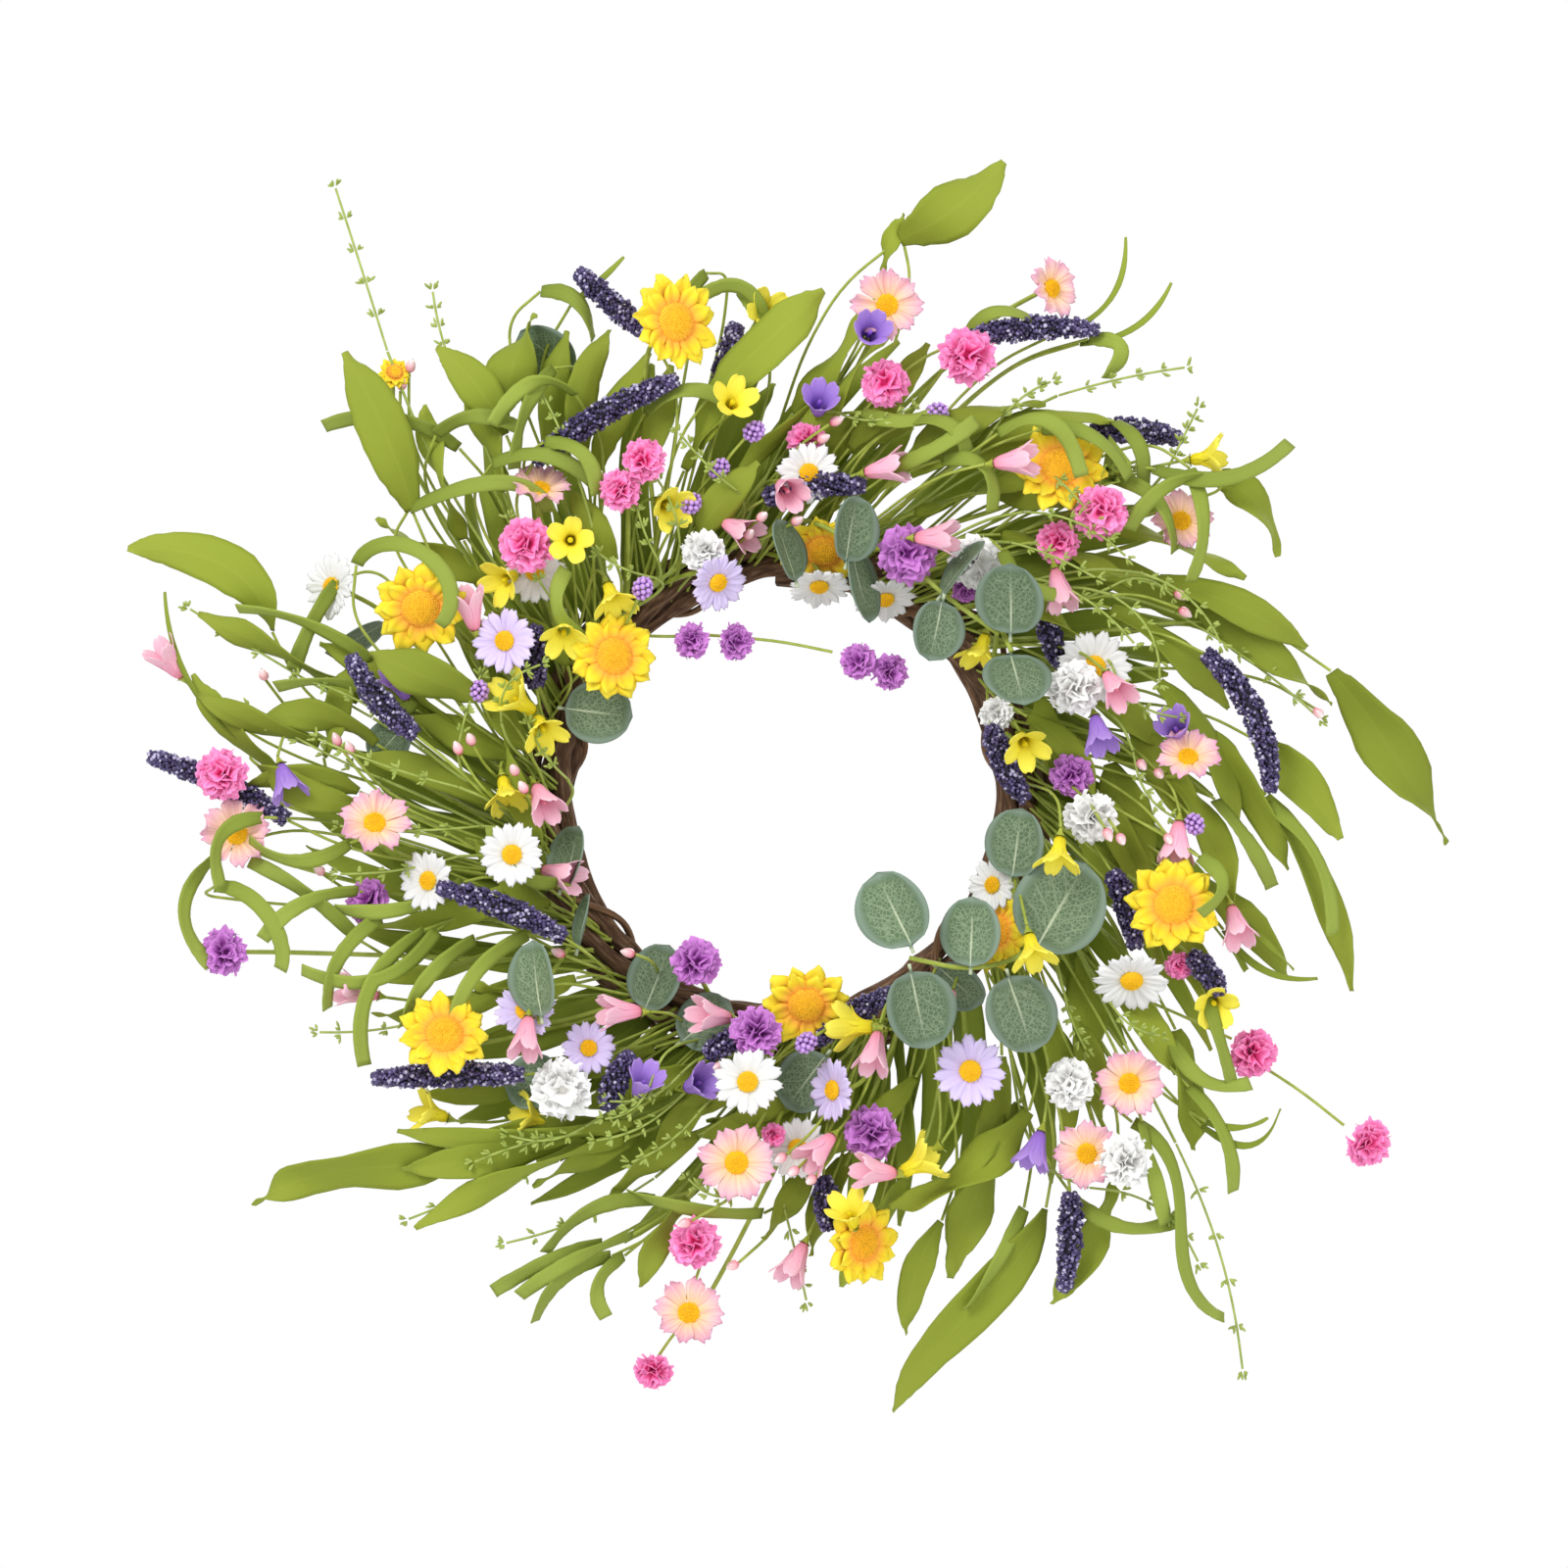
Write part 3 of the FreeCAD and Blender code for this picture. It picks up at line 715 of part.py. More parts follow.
def blade(route, width, shares, foot_turn, tip_turn, gauge):
    """A leaf of thin cloth: cross sections along its midrib, turning from the foot to the tip."""
    sections, count = [], len(shares)
    for index, (point, along) in enumerate(stations(midrib(route), count)):
        turn = math.radians(foot_turn + (tip_turn - foot_turn) * index / (count - 1))
        flat = along.cross(Vector(0, -1, 0)).normalize()
        thick = flat.cross(along).normalize()
        side = flat * math.cos(turn) + thick * math.sin(turn)
        normal = along.cross(side).normalize()
        half, skin = side * (width * shares[index] / 2), normal * (gauge / 2)
        corners = [point - half - skin, point + half - skin, point + half + skin, point - half + skin]
        sections.append(Part.makePolygon(corners + corners[:1]))
    return Part.makeLoft(sections, True, False)


def make_leaves():
    """Broad leaves, strap leaves and grass blades, with the stalks that join them to the ring."""
    gauge = size("leaf_gauge")
    broad_shares = (0.18, 0.66, 0.95, 1.0, 0.86, 0.52, 0.08)
    strap_shares = (0.7, 1.0, 1.0, 1.0, 1.0, 1.0, 0.92)
    grass_shares = (0.8, 1.0, 1.0, 0.9, 0.8, 0.6, 0.3)
    group("broad_leaves", [blade(route, width, broad_shares, foot, tip, gauge)
                           for width, foot, tip, *route in BROAD_LEAVES])
    group("strap_leaves", [blade(route, size("strap_width"), strap_shares, foot, tip, gauge)
                           for foot, tip, *route in STRAPS])
    group("grass_blades", [blade(route, size("grass_width"), grass_shares, foot, tip, gauge)
                           for foot, tip, *route in GRASSES])
    for label, rows, skip in (("broad_leaf", BROAD_LEAVES, 3), ("strap", STRAPS, 2), ("grass", GRASSES, 2)):
        feet = []
        for row in rows:
            point, along = stations(midrib(row[skip:]), 2)[0]
            feet.append((point - along * 2 * CLEARANCE, along * -1))
        stems(f"{label}_stalks", feet, size("fine_stem_radius"))


def make_under_blades():
    """The base layer: staggered rows of narrow blades that fan clockwise out of the ring."""
    shares = (0.3, 0.8, 1.0, 1.0, 0.85, 0.55, 0.12)
    count, blades = int(size("under_count")), []
    for row in range(int(size("under_rows"))):
        root_radius = size("ring_radius") + (row + 0.5) * size("under_root_step")
        root_depth = size("stem_root_depth") - row * size("under_depth_step")
        for index in range(count):
            angle = 2 * math.pi * (index + 0.5 * row) / count
            outward, clockwise = (math.cos(angle), math.sin(angle)), (math.sin(angle), -math.cos(angle))
            length = size("under_length") * (1 + 0.2 * math.sin(2.3 * index + row))
            sweep = 0.55 + 0.25 * math.sin(1.3 * index + 2 * row)
            route = []
            for share in (0.0, 0.5, 1.0):
                out = root_radius + 0.8 * length * share
                along = length * share * sweep * (0.7 + 0.5 * share)
                lift = size("under_arch") * (math.sin(math.pi * share) + 0.75 * share * math.sin(4.1 * index))
                x, z = (out * way + along * turn for way, turn in zip(outward, clockwise))
                route.append((x, z, root_depth + lift))
            width = size("under_width") * (1 + 0.25 * math.cos(3.7 * index))
            foot_turn, tip_turn = 25 * math.sin(2.9 * index), 40 * math.cos(1.9 * index)
            blades.append(blade(route, width, shares, foot_turn, tip_turn, size("leaf_gauge")))
    group("under_blades", blades)


def make_lavender():
    """Crumbly foam spikes as round tapered solids, and their stems."""
    shares = (0.55, 0.9, 1.0, 0.95, 0.8, size("lavender_tip"))
    spikes, feet = [], []
    for route in LAVENDER:
        points = stations(midrib(route), len(shares))
        rings = [Part.Wire([Part.Circle(point, along, size("lavender_radius") * share).toShape()])
                 for (point, along), share in zip(points, shares)]
        spikes.append(Part.makeLoft(rings, True, False))
        feet.append((points[0][0] - points[0][1] * 2 * CLEARANCE, points[0][1] * -1))
    group("lavender_spikes", spikes)
    stems("lavender_stems", feet, size("fine_stem_radius"))


def make_eucalyptus():
    """Oval leaves set along bent twigs."""
    plate = oval_leaf("eucalyptus_master")
    doc.recompute()
    stretch = FreeCAD.Matrix()
    stretch.scale(1, size("eucalyptus_length") / size("eucalyptus_width"), 1)
    oval = plate.Shape.transformGeometry(stretch)
    leaves = []
    for foot_x, foot_z, tip_x, tip_z, depth, dip, turn in EUCALYPTUS:
        foot, tip = spot(foot_x, foot_z, depth), spot(tip_x, tip_z, depth + dip)
        along = tip - foot
        length = along.Length
        flat = along.cross(Vector(0, -1, 0)).normalize()
        thick = flat.cross(along).normalize()
        angle = math.radians(turn)
        side = flat * math.cos(angle) + thick * math.sin(angle)
        turned = Rotation(side, along, Vector(), "YXZ")
        leaves.append(placed(oval, Placement((foot + tip) * 0.5, turned), length / size("eucalyptus_length")))
    group("eucalyptus_leaves", leaves)
    group("eucalyptus_twigs", [tube([spot(*p) for p in route], size("stem_radius"))
                               for route in EUCALYPTUS_ROUTES])


def make_sprigs():
    """Fine twigs with pairs of tiny leaflets and a fork at the tip."""
    twigs, leaflets, feet = [], [], []
    leaflet = Part.makeCone(size("leaflet_foot"), size("leaflet_radius"), size("leaflet_length"))
    joints = int(size("sprig_joints"))
    for route in SPRIGS:
        points = stations(midrib(route), joints + 1)
        twigs.append(tube([point for point, _ in points], size("fine_stem_radius") * 0.8))
        feet.append((points[0][0] - points[0][1] * 2 * CLEARANCE, points[0][1] * -1))
        for index, (point, along) in enumerate(points[1:], start=1):
            across = along.cross(Vector(0, -1, 0)).normalize()
            lean = size("leaflet_lean") if index < joints else size("leaflet_tip_lean")
            for side in (-1, 1):
                way = (along + across * side * lean + Vector(0, -0.3, 0)).normalize()
                leaflets.append(placed(leaflet, facing(point + way * size("leaflet_seat"), way)))
    group("sprig_twigs", twigs)
    group("sprig_leaflets", leaflets)
    stems("sprig_stalks", feet, size("fine_stem_radius"))


def make_fillers():
    """Pink pip buds and lilac berry heads on fine stems."""
    wide, long, bead = "bud_radius", "bud_length", "berry_radius"
    bud = revolved("bud_master", [("0", "0"), (f"{wide}*0.4", "0"), (wide, f"{long}*0.42"),
                                  (f"{wide}*0.3", long), ("0", long)])
    berry = revolved("berry_master", [("0", "0"), (f"{bead}*0.55", f"{bead}*0.1"),
                                      (bead, f"{bead}*0.8"), (bead, f"{bead}*1.6"),
                                      (f"{bead}*0.55", f"{bead}*2.3"), ("0", f"{bead}*2.4")])
    for label, master, places, half in (("pip_buds", bud, BUDS, size("bud_length") / 2),
                                        ("berry_heads", berry, BERRIES, size("berry_radius") * 1.2)):
        solids, feet = [], []
        for index, (x, z, depth) in enumerate(places):
            outward = Vector(x, 0, z).normalize()
            clockwise = Vector(outward.z, 0, -outward.x)
            way = (outward * 0.5 + clockwise * 0.8 + Vector(0, -0.5 + 0.4 * math.sin(index), 0)).normalize()
            base = spot(x, z, depth) - way * half
            solids.append(placed(master.Shape, facing(base, way)))
            feet.append((base - way * CLEARANCE, way * -1))
        group(label, solids)
        stems(f"{label.split('_')[0]}_stems", feet, size("fine_stem_radius"))


def check_and_write():
    """Refuses any failed object or bad solid, then writes each node to its own file."""
    doc.recompute()
    for part in doc.Objects:
        if "Invalid" in part.State or "Error" in part.State:
            raise RuntimeError(f"{part.Name} is {part.State}")
    for node in NODES:
        if node.Shape.isNull() or not node.Shape.isValid():
            raise RuntimeError(f"{node.Label} has a bad shape")
        if any(solid.Volume <= 0 for solid in node.Shape.Solids):
            raise RuntimeError(f"{node.Label} has an empty solid")
    os.makedirs("parts", exist_ok=True)
    for node in NODES:
        node.Shape.exportStep(f"parts/{node.Label}.step")
        print(f"{node.Label}: {len(node.Shape.Solids)} solids, {node.Shape.Volume / 1000:.2f} cm3")


NODES = []
CLEARANCE = 0.3
STEM_RUNS = 5
RING_DROP = size("ring_radius") - size("lay_radius") - size("cane_radius")
WIRED_HEADS = [(-41, 71), (-24, 71), (35, 61), (47, 57), (214, -117), (267, -159), (-41, -205), (-60, -263)]

make_ring()
sun_back = whorl("sunflower_back_master", "sun", "sun_reach", "sun_rise")
sun_front = whorl("sunflower_front_master", "sun", "sun_reach*sun_inner", "sun_rise*1.6")
daisy = whorl("daisy_master", "daisy", "daisy_reach", "daisy_rise")
cosmos = whorl("cosmos_master", "cosmos", "cosmos_reach", "cosmos_rise")
calyx = cup("calyx_master", "calyx_neck", "calyx_mouth", "calyx_length")
discs = {kind: cap(f"{kind}_disc_master", f"{kind}_disc", f"{kind}_dome")
         for kind in ("sun", "daisy", "cosmos")}
doc.recompute()
sun_layers = [("back_petals", sun_back, 0.0, 0.0),
              ("front_petals", sun_front, size("sun_layer_gap"), 180 / size("sun_petals"))]
make_flowers("sunflower", SUNFLOWERS, sun_layers, discs["sun"], calyx)
make_flowers("white_daisy", WHITE_DAISIES, [("petals", daisy, 0.0, 0.0)], discs["daisy"], calyx)
make_flowers("lilac_daisy", LILAC_DAISIES, [("petals", daisy, 0.0, 0.0)], discs["daisy"], calyx)
make_flowers("pink_cosmos", PINK_COSMOS, [("petals", cosmos, 0.0, 0.0)], discs["cosmos"], calyx)
make_carnations()
make_bells()
make_lavender()
make_eucalyptus()
make_leaves()
make_under_blades()
make_sprigs()
make_fillers()
check_and_write()
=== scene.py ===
"""Looks of the spring flower wreath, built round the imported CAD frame.

Each flower, leaf and spike stands where its CAD solid stands. The solid gives the place, the axis and
the size, and a detailed cloth, foam or plastic mesh takes its place. Lengths are metres, and the
wreath faces -Y. Point attributes that the materials read: "along" runs from a foot to a tip, "across"
from one edge to the other, and "tone" is one chance value for each petal, leaf or granule.
"""
import json
import math

import bpy
import numpy as np
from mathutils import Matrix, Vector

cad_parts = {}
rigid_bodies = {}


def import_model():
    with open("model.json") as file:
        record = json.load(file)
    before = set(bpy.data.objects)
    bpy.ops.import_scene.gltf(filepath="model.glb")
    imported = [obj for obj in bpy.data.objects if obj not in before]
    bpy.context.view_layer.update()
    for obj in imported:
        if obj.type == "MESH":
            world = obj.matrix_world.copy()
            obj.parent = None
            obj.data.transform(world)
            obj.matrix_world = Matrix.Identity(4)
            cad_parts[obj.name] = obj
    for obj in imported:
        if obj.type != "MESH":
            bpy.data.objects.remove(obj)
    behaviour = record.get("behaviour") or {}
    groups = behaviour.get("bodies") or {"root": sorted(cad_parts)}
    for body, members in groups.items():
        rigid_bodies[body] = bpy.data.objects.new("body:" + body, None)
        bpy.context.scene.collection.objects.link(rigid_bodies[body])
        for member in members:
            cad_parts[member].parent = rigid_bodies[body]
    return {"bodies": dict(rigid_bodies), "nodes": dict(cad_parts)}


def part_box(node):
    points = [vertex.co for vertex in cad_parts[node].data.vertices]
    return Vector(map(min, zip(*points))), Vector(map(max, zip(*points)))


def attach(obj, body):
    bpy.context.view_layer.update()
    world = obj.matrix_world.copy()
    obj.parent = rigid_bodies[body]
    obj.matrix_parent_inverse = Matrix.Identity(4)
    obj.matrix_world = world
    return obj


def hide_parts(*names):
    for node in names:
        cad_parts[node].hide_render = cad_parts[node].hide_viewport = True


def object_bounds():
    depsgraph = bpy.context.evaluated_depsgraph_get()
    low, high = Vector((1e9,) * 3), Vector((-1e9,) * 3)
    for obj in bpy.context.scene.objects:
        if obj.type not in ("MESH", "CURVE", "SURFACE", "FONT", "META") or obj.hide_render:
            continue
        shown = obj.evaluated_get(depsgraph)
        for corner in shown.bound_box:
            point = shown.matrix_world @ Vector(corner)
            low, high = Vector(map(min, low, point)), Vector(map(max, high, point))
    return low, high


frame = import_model()
CAD_BOX = [list(corner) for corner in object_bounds()]
BODY = next(iter(frame["bodies"]))
MM = 0.001
GOLDEN = math.pi * (3 - math.sqrt(5))
FRONT = np.array([0.0, -1.0, 0.0])
# Half the width of a flat strip, and the radius of a round rod, for a standard deviation of one.
EVEN_SPREAD, ROUND_SPREAD = math.sqrt(3), math.sqrt(2)


# ---------------------------------------------------------------- reading the frame

def middle_of(node):
    """The middle of a CAD node's box."""
    low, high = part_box(node)
    return (np.array(low) + np.array(high)) / 2


RING = middle_of("vine_core")


def linked(count, links):
    """For each of count things, the lowest number among the things that links join it to."""
    label = np.arange(count)
    first, second = links.ravel(), np.roll(links, 1, axis=1).ravel()
    while True:
        before = label.copy()
        low = np.minimum(label[first], label[second])
        np.minimum.at(label, first, low)
        np.minimum.at(label, second, low)
        label = label[label]
        if (label == before).all():
            return label


def node_mesh(node):
    """A CAD node's points and triangles, welded along the edges of its faces."""
    mesh = frame["nodes"][node].data
    points = np.empty(len(mesh.vertices) * 3)
    mesh.vertices.foreach_get("co", points)
    mesh.calc_loop_triangles()
    triangles = np.empty(len(mesh.loop_triangles) * 3, int)
    mesh.loop_triangles.foreach_get("vertices", triangles)
    points, home = np.unique(points.reshape(-1, 3).round(6), axis=0, return_inverse=True)
    return points, home.ravel()[triangles].reshape(-1, 3)


def solids(node):
    """Each separate solid of a CAD node, as its own points and triangles."""
    points, triangles = node_mesh(node)
    label = linked(len(points), triangles)[triangles[:, 0]]
    order = np.argsort(label, kind="stable")
    cuts = np.flatnonzero(np.diff(label[order])) + 1
    parts = []
    for rows in np.split(order, cuts):
        used, home = np.unique(triangles[rows], return_inverse=True)
        parts.append((points[used], home.reshape(-1, 3)))
    return parts


def unit(vectors):
    """Vectors at length one."""
    vectors = np.asarray(vectors, float)
    return vectors / np.linalg.norm(vectors, axis=-1, keepdims=True).clip(1e-12)


def nearest(spots, point):
    """The spot nearest to a point."""
    return spots[np.argmin(((spots - point) ** 2).sum(1))]


def square_to(axis):
    """Two unit vectors that stand square to an axis and to each other."""
    helper = np.array([1.0, 0, 0]) if abs(axis[0]) < 0.8 else np.array([0, 0, 1.0])
    side = unit(np.cross(axis, helper))
    return side, np.cross(axis, side)


def main_ways(points):
    """The middle of some points, and the three directions of their spread with the narrowest first."""
    middle = points.mean(0)
    return middle, np.linalg.eigh(np.cov((points - middle).T))[1].T


def off_axis(points, middle, axis):
    """How far points stand along an axis through a middle, and how far off it."""
    rise = (points - middle) @ axis
    return rise, np.linalg.norm(points - middle - np.outer(rise, axis), axis=1)


def head_poses(heads, backs, flat=False):
    """For each head solid: its base, axis, radius and height. Backs are the calyxes or cups behind."""
    behind = np.array([points.mean(0) for points, _ in solids(backs)])
    poses = []
    for points, _ in solids(heads):
        middle, ways = main_ways(points)
        toward = middle - nearest(behind, middle)
        axis = ways[0] * np.sign(ways[0] @ toward) if flat else unit(toward)
        rise, gaps = off_axis(points, middle, axis)
        poses.append((middle + axis * rise.min(), axis, gaps.max(), np.ptp(rise)))
    return poses


def face_facts(points, triangles):
    """Unit normals and areas of triangles."""
    a, b, c = (points[triangles[:, k]] for k in range(3))
    cross = np.cross(b - a, c - a)
    return unit(cross), np.linalg.norm(cross, axis=1) / 2


def end_faces(points, triangles):
    """The two cut ends of a strip or rod, which are its two smallest smooth faces."""
    normals, areas = face_facts(points, triangles)
    sides = np.sort(np.vstack([triangles[:, [k, (k + 1) % 3]] for k in range(3)]), axis=1)
    owner = np.tile(np.arange(len(triangles)), 3)
    order = np.lexsort(sides.T)
    sides, owner = sides[order], owner[order]
    shared = (sides[1:] == sides[:-1]).all(1)
    pairs = np.column_stack([owner[:-1][shared], owner[1:][shared]])
    smooth = (normals[pairs[:, 0]] * normals[pairs[:, 1]]).sum(1) > 0.8
    label = linked(len(triangles), pairs[smooth])
    faces = [label == mark for mark in np.unique(label)]
    faces.sort(key=lambda face: areas[face].sum())
    return [np.unique(triangles[face]) for face in faces[:2]]


def spread(points, triangles, foot, tip):
    """A value that runs evenly over a surface, from 0 at the foot to 1 at the tip."""
    count = len(points)
    weights = np.zeros((count, count))
    for k in range(3):
        a, b, c = (triangles[:, (k + step) % 3] for step in range(3))
        u, v = points[b] - points[a], points[c] - points[a]
        cotangent = (u * v).sum(1) / np.linalg.norm(np.cross(u, v), axis=1).clip(1e-12)
        np.add.at(weights, (b, c), cotangent)
        np.add.at(weights, (c, b), cotangent)
    system = np.diag(weights.sum(1)) - weights
    value = np.zeros(count)
    value[tip] = 1
    free = np.setdiff1d(np.arange(count), np.concatenate([foot, tip]))
    load = -system[np.ix_(free, tip)].sum(1)
    value[free] = np.linalg.solve(system[np.ix_(free, free)], load)
    return value


def stations(solid, closeness, count):
    """Centres, directions, sides and spreads at even steps from the foot of a strip to its tip."""
    points, triangles = solid
    foot, tip = sorted(end_faces(points, triangles), key=lambda end: closeness(points[end].mean(0)))
    share = spread(points, triangles, foot, tip)
    blur = 0.06
    steps = (np.arange(4) + 0.5) / 4
    mix = np.array([(u * (1 - v), u * v, 1 - u) for u in np.sqrt(steps) for v in steps])
    area = np.repeat(face_facts(points, triangles)[1], len(mix))
    spots = np.einsum("mk,tkd->tmd", mix, points[triangles]).reshape(-1, 3)
    value = np.einsum("mk,tk->tm", mix, share[triangles]).ravel()
    centres, sides, spreads = [], [], []
    for target in np.linspace(0, 1, count):
        weight = area * np.exp(-((value - target) / blur) ** 2)
        rows = np.column_stack([np.ones_like(value), value - target, (value - target) ** 2])
        fit = np.linalg.lstsq((rows.T * weight) @ rows, (rows.T * weight) @ spots, rcond=None)[0]
        rest = spots - rows @ fit
        spans, ways = np.linalg.eigh((rest.T * weight) @ rest / weight.sum())
        way = ways[:, 2]
        if sides and way @ sides[-1] < 0:
            way = -way
        centres.append(fit[0])
        sides.append(way)
        spreads.append(math.sqrt(spans[2]))
    centres, sides = np.array(centres), np.array(sides)
    along = unit(np.gradient(centres, axis=0))
    sides = unit(sides - along * (sides * along).sum(1, keepdims=True))
    return centres, along, sides, np.array(spreads)


def close_to(node):
    """A measure of how close a point is to a CAD node, for telling a foot from a tip."""
    spots = node_mesh(node)[0]
    return lambda point: ((spots - point) ** 2).sum(1).min()


def close_to_hub(point):
    """A measure of how close a point is to the middle of the ring."""
    return np.hypot(point[0] - RING[0], point[2] - RING[2])


# ---------------------------------------------------------------- building meshes

def chance(name):
    """A seeded source of chance values for one piece."""
    return np.random.default_rng(sum(map(ord, name)))


def quads(rows, columns, closed=False):
    """The faces of a grid of points, closed round its columns or not."""
    last = columns if closed else columns - 1
    row, column = np.meshgrid(np.arange(rows - 1), np.arange(last), indexing="ij")
    here, right = row * columns + column, row * columns + (column + 1) % columns
    return np.stack([here, right, right + columns, here + columns], axis=-1).reshape(-1, 4)


def part(points, faces, along=0.0, across=0.0, tone=0.5):
    """Points and faces with the three values that the materials read."""
    count = len(points)
    values = [np.broadcast_to(np.asarray(value, float), (count,)) for value in (along, across, tone)]
    return np.asarray(points, float), np.asarray(faces, int), np.column_stack(values)


def merged(parts):
    """Several parts as one."""
    points, faces, values = zip(*parts)
    starts = np.cumsum([0] + [len(some) for some in points])
    faces = [some + start for some, start in zip(faces, starts)]
    return np.vstack(points), np.vstack(faces), np.vstack(values)


def stood(shape, base, axis, spin=0.0):
    """A part made along +Z, turned about its axis and stood on a base."""
    points, faces, values = shape
    side, up = square_to(axis)
    right = side * math.cos(spin) + up * math.sin(spin)
    ways = np.column_stack([right, np.cross(axis, right), axis])
    return base + points @ ways.T, faces, values


def piece(name, parts, look, slot, *nodes, thickness=0.0):
    """One named piece made of parts, which stands for CAD nodes. Sheets are given their thickness."""
    points, faces, values = merged(parts)
    mesh = bpy.data.meshes.new(name)
    corners = [face if face[2] != face[3] else face[:3] for face in faces.tolist()]
    mesh.from_pydata(points.tolist(), [], corners)
    for column, word in enumerate(("along", "across", "tone")):
        attribute = mesh.attributes.new(word, "FLOAT", "POINT")
        attribute.data.foreach_set("value", values[:, column].astype(np.float32))
    mesh.polygons.foreach_set("use_smooth", np.ones(len(mesh.polygons), bool))
    mesh.materials.append(MATERIALS[look])
    mesh.validate()
    made = bpy.data.objects.new(name, mesh)
    bpy.context.scene.collection.objects.link(made)
    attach(made, BODY)
    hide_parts(*nodes)
    if thickness:
        solidify = made.modifiers.new("thickness", "SOLIDIFY")
        solidify.thickness = thickness
        solidify.offset = 0


def grid(rows, columns):
    """Places on a sheet: 0 to 1 from foot to tip, and -1 to 1 from edge to edge."""
    return np.linspace(0, 1, rows)[:, None], np.linspace(-1, 1, columns)[None, :]


def sheet(place, u, v, tone):
    """A sheet part from the x, y and z of its grid."""
    points = np.stack(np.broadcast_arrays(*place), axis=-1)
    rows, columns = points.shape[:2]
    along, across = np.broadcast_arrays(u, v)
    return part(points.reshape(-1, 3), quads(rows, columns), along.ravel(), across.ravel(), tone)


def curve_through(shares, steps):
    """Values at even steps of a smooth curve through a few evenly spaced shares."""
    knots = np.linspace(0, 1, len(shares))
    fit = np.polynomial.Polynomial.fit(knots, shares, len(shares) - 1)
    return fit(steps)


def lathe(profile, sides, scale, tone=0.5):
    """A part turned about +Z from (radius, height) pairs and the lengths they are shares of."""
    profile = np.array(profile, float) * scale
    turn = 2 * math.pi * np.arange(sides) / sides
    radius = np.repeat(profile[:, 0], sides)
    turn = np.tile(turn, len(profile))
    points = np.column_stack([radius * np.cos(turn), radius * np.sin(turn), np.repeat(profile[:, 1], sides)])
    along = np.repeat(np.linspace(0, 1, len(profile)), sides)
    return part(points, quads(len(profile), sides, closed=True), along, 0.0, tone)


# ---------------------------------------------------------------- petals and flowers

def petal(half_widths, lifts, reach, rows=9, columns=7, tooth=0.0, curl=0.0, crease=0.0, start=0.0, wave=0.0,
          rng=None):
    """One petal that grows along +X, lifted along +Z: widths and lifts are shares of its reach."""
    u, v = grid(rows, columns)
    jitter = rng.uniform(-1, 1, 6)
    width = curve_through(half_widths, u[:, 0])[:, None].clip(0.01) * reach * (1 + 0.12 * jitter[4])
    lift = curve_through(lifts, u[:, 0])[:, None] * reach
    notch = 0.5 + 0.5 * np.cos(math.pi * (2 * v + 0.3 * jitter[5]))
    tip = 1 - tooth * u ** 4 * notch - 0.12 * u ** 6 * v ** 2
    x = (start + (1 - start) * u * tip) * reach * (1 + 0.06 * jitter[0])
    y = v * width + 0.05 * jitter[1] * reach * u ** 2
    z = lift + curl * v ** 2 * width - crease * np.cos(v * math.pi * 1.5) * width * u * (1 - u) * 2
    z = z + (0.06 * jitter[2] * v + 0.06 * jitter[3]) * u * reach
    z = z + wave * reach * u ** 2 * np.sin(3.5 * v + 3 * jitter[5]) * (1 + 0.5 * jitter[4])
    return sheet((x, y, z), u, v, rng.uniform())


def turned(shape, angle):
    """A part turned about +Z."""
    points, faces, values = shape
    c, s = math.cos(angle), math.sin(angle)
    return points @ np.array([[c, s, 0], [-s, c, 0], [0, 0, 1]]), faces, values


def petal_ring(count, rng, offset=0.0, **look):
    """A ring of petals about +Z, each a little different."""
    petals = []
    for k in range(count):
        one = petal(rng=rng, **look)
        petals.append(turned(one, 2 * math.pi * (k + offset) / count + rng.uniform(-0.04, 0.04)))
    return merged(petals)


def floret(width, height, tone):
    """One tiny pointed bump of a flower's disc."""
    return lathe([(1, 0), (0.85, 0.6), (0.15, 1)], 5, (width, height), tone)


def disc(radius, dome, count, width, height, rng):
    """A domed disc packed with florets in a sunflower spiral."""
    rings = [(math.cos(a), math.sin(a)) for a in np.linspace(0, math.pi / 2 - 0.01, 7)]
    dome_points, dome_faces, _ = lathe(rings, 20, (radius, dome))
    parts = [part(dome_points, dome_faces, along=0.0)]
    for k in range(count):
        share = math.sqrt((k + 0.5) / count)
        turn = k * GOLDEN
        flat = radius * share * 0.97
        spot = np.array([flat * math.cos(turn), flat * math.sin(turn), dome * math.sqrt(1 - share ** 2)])
        way = unit(spot / np.array([radius ** 2, radius ** 2, dome ** 2]) + rng.normal(0, 6, 3))
        points, faces, values = stood(floret(width, height * rng.uniform(0.7, 1.2), rng.uniform()), spot, way)
        values = values.copy()
        values[:, 0] = share
        parts.append((points, faces, values))
    return merged(parts)


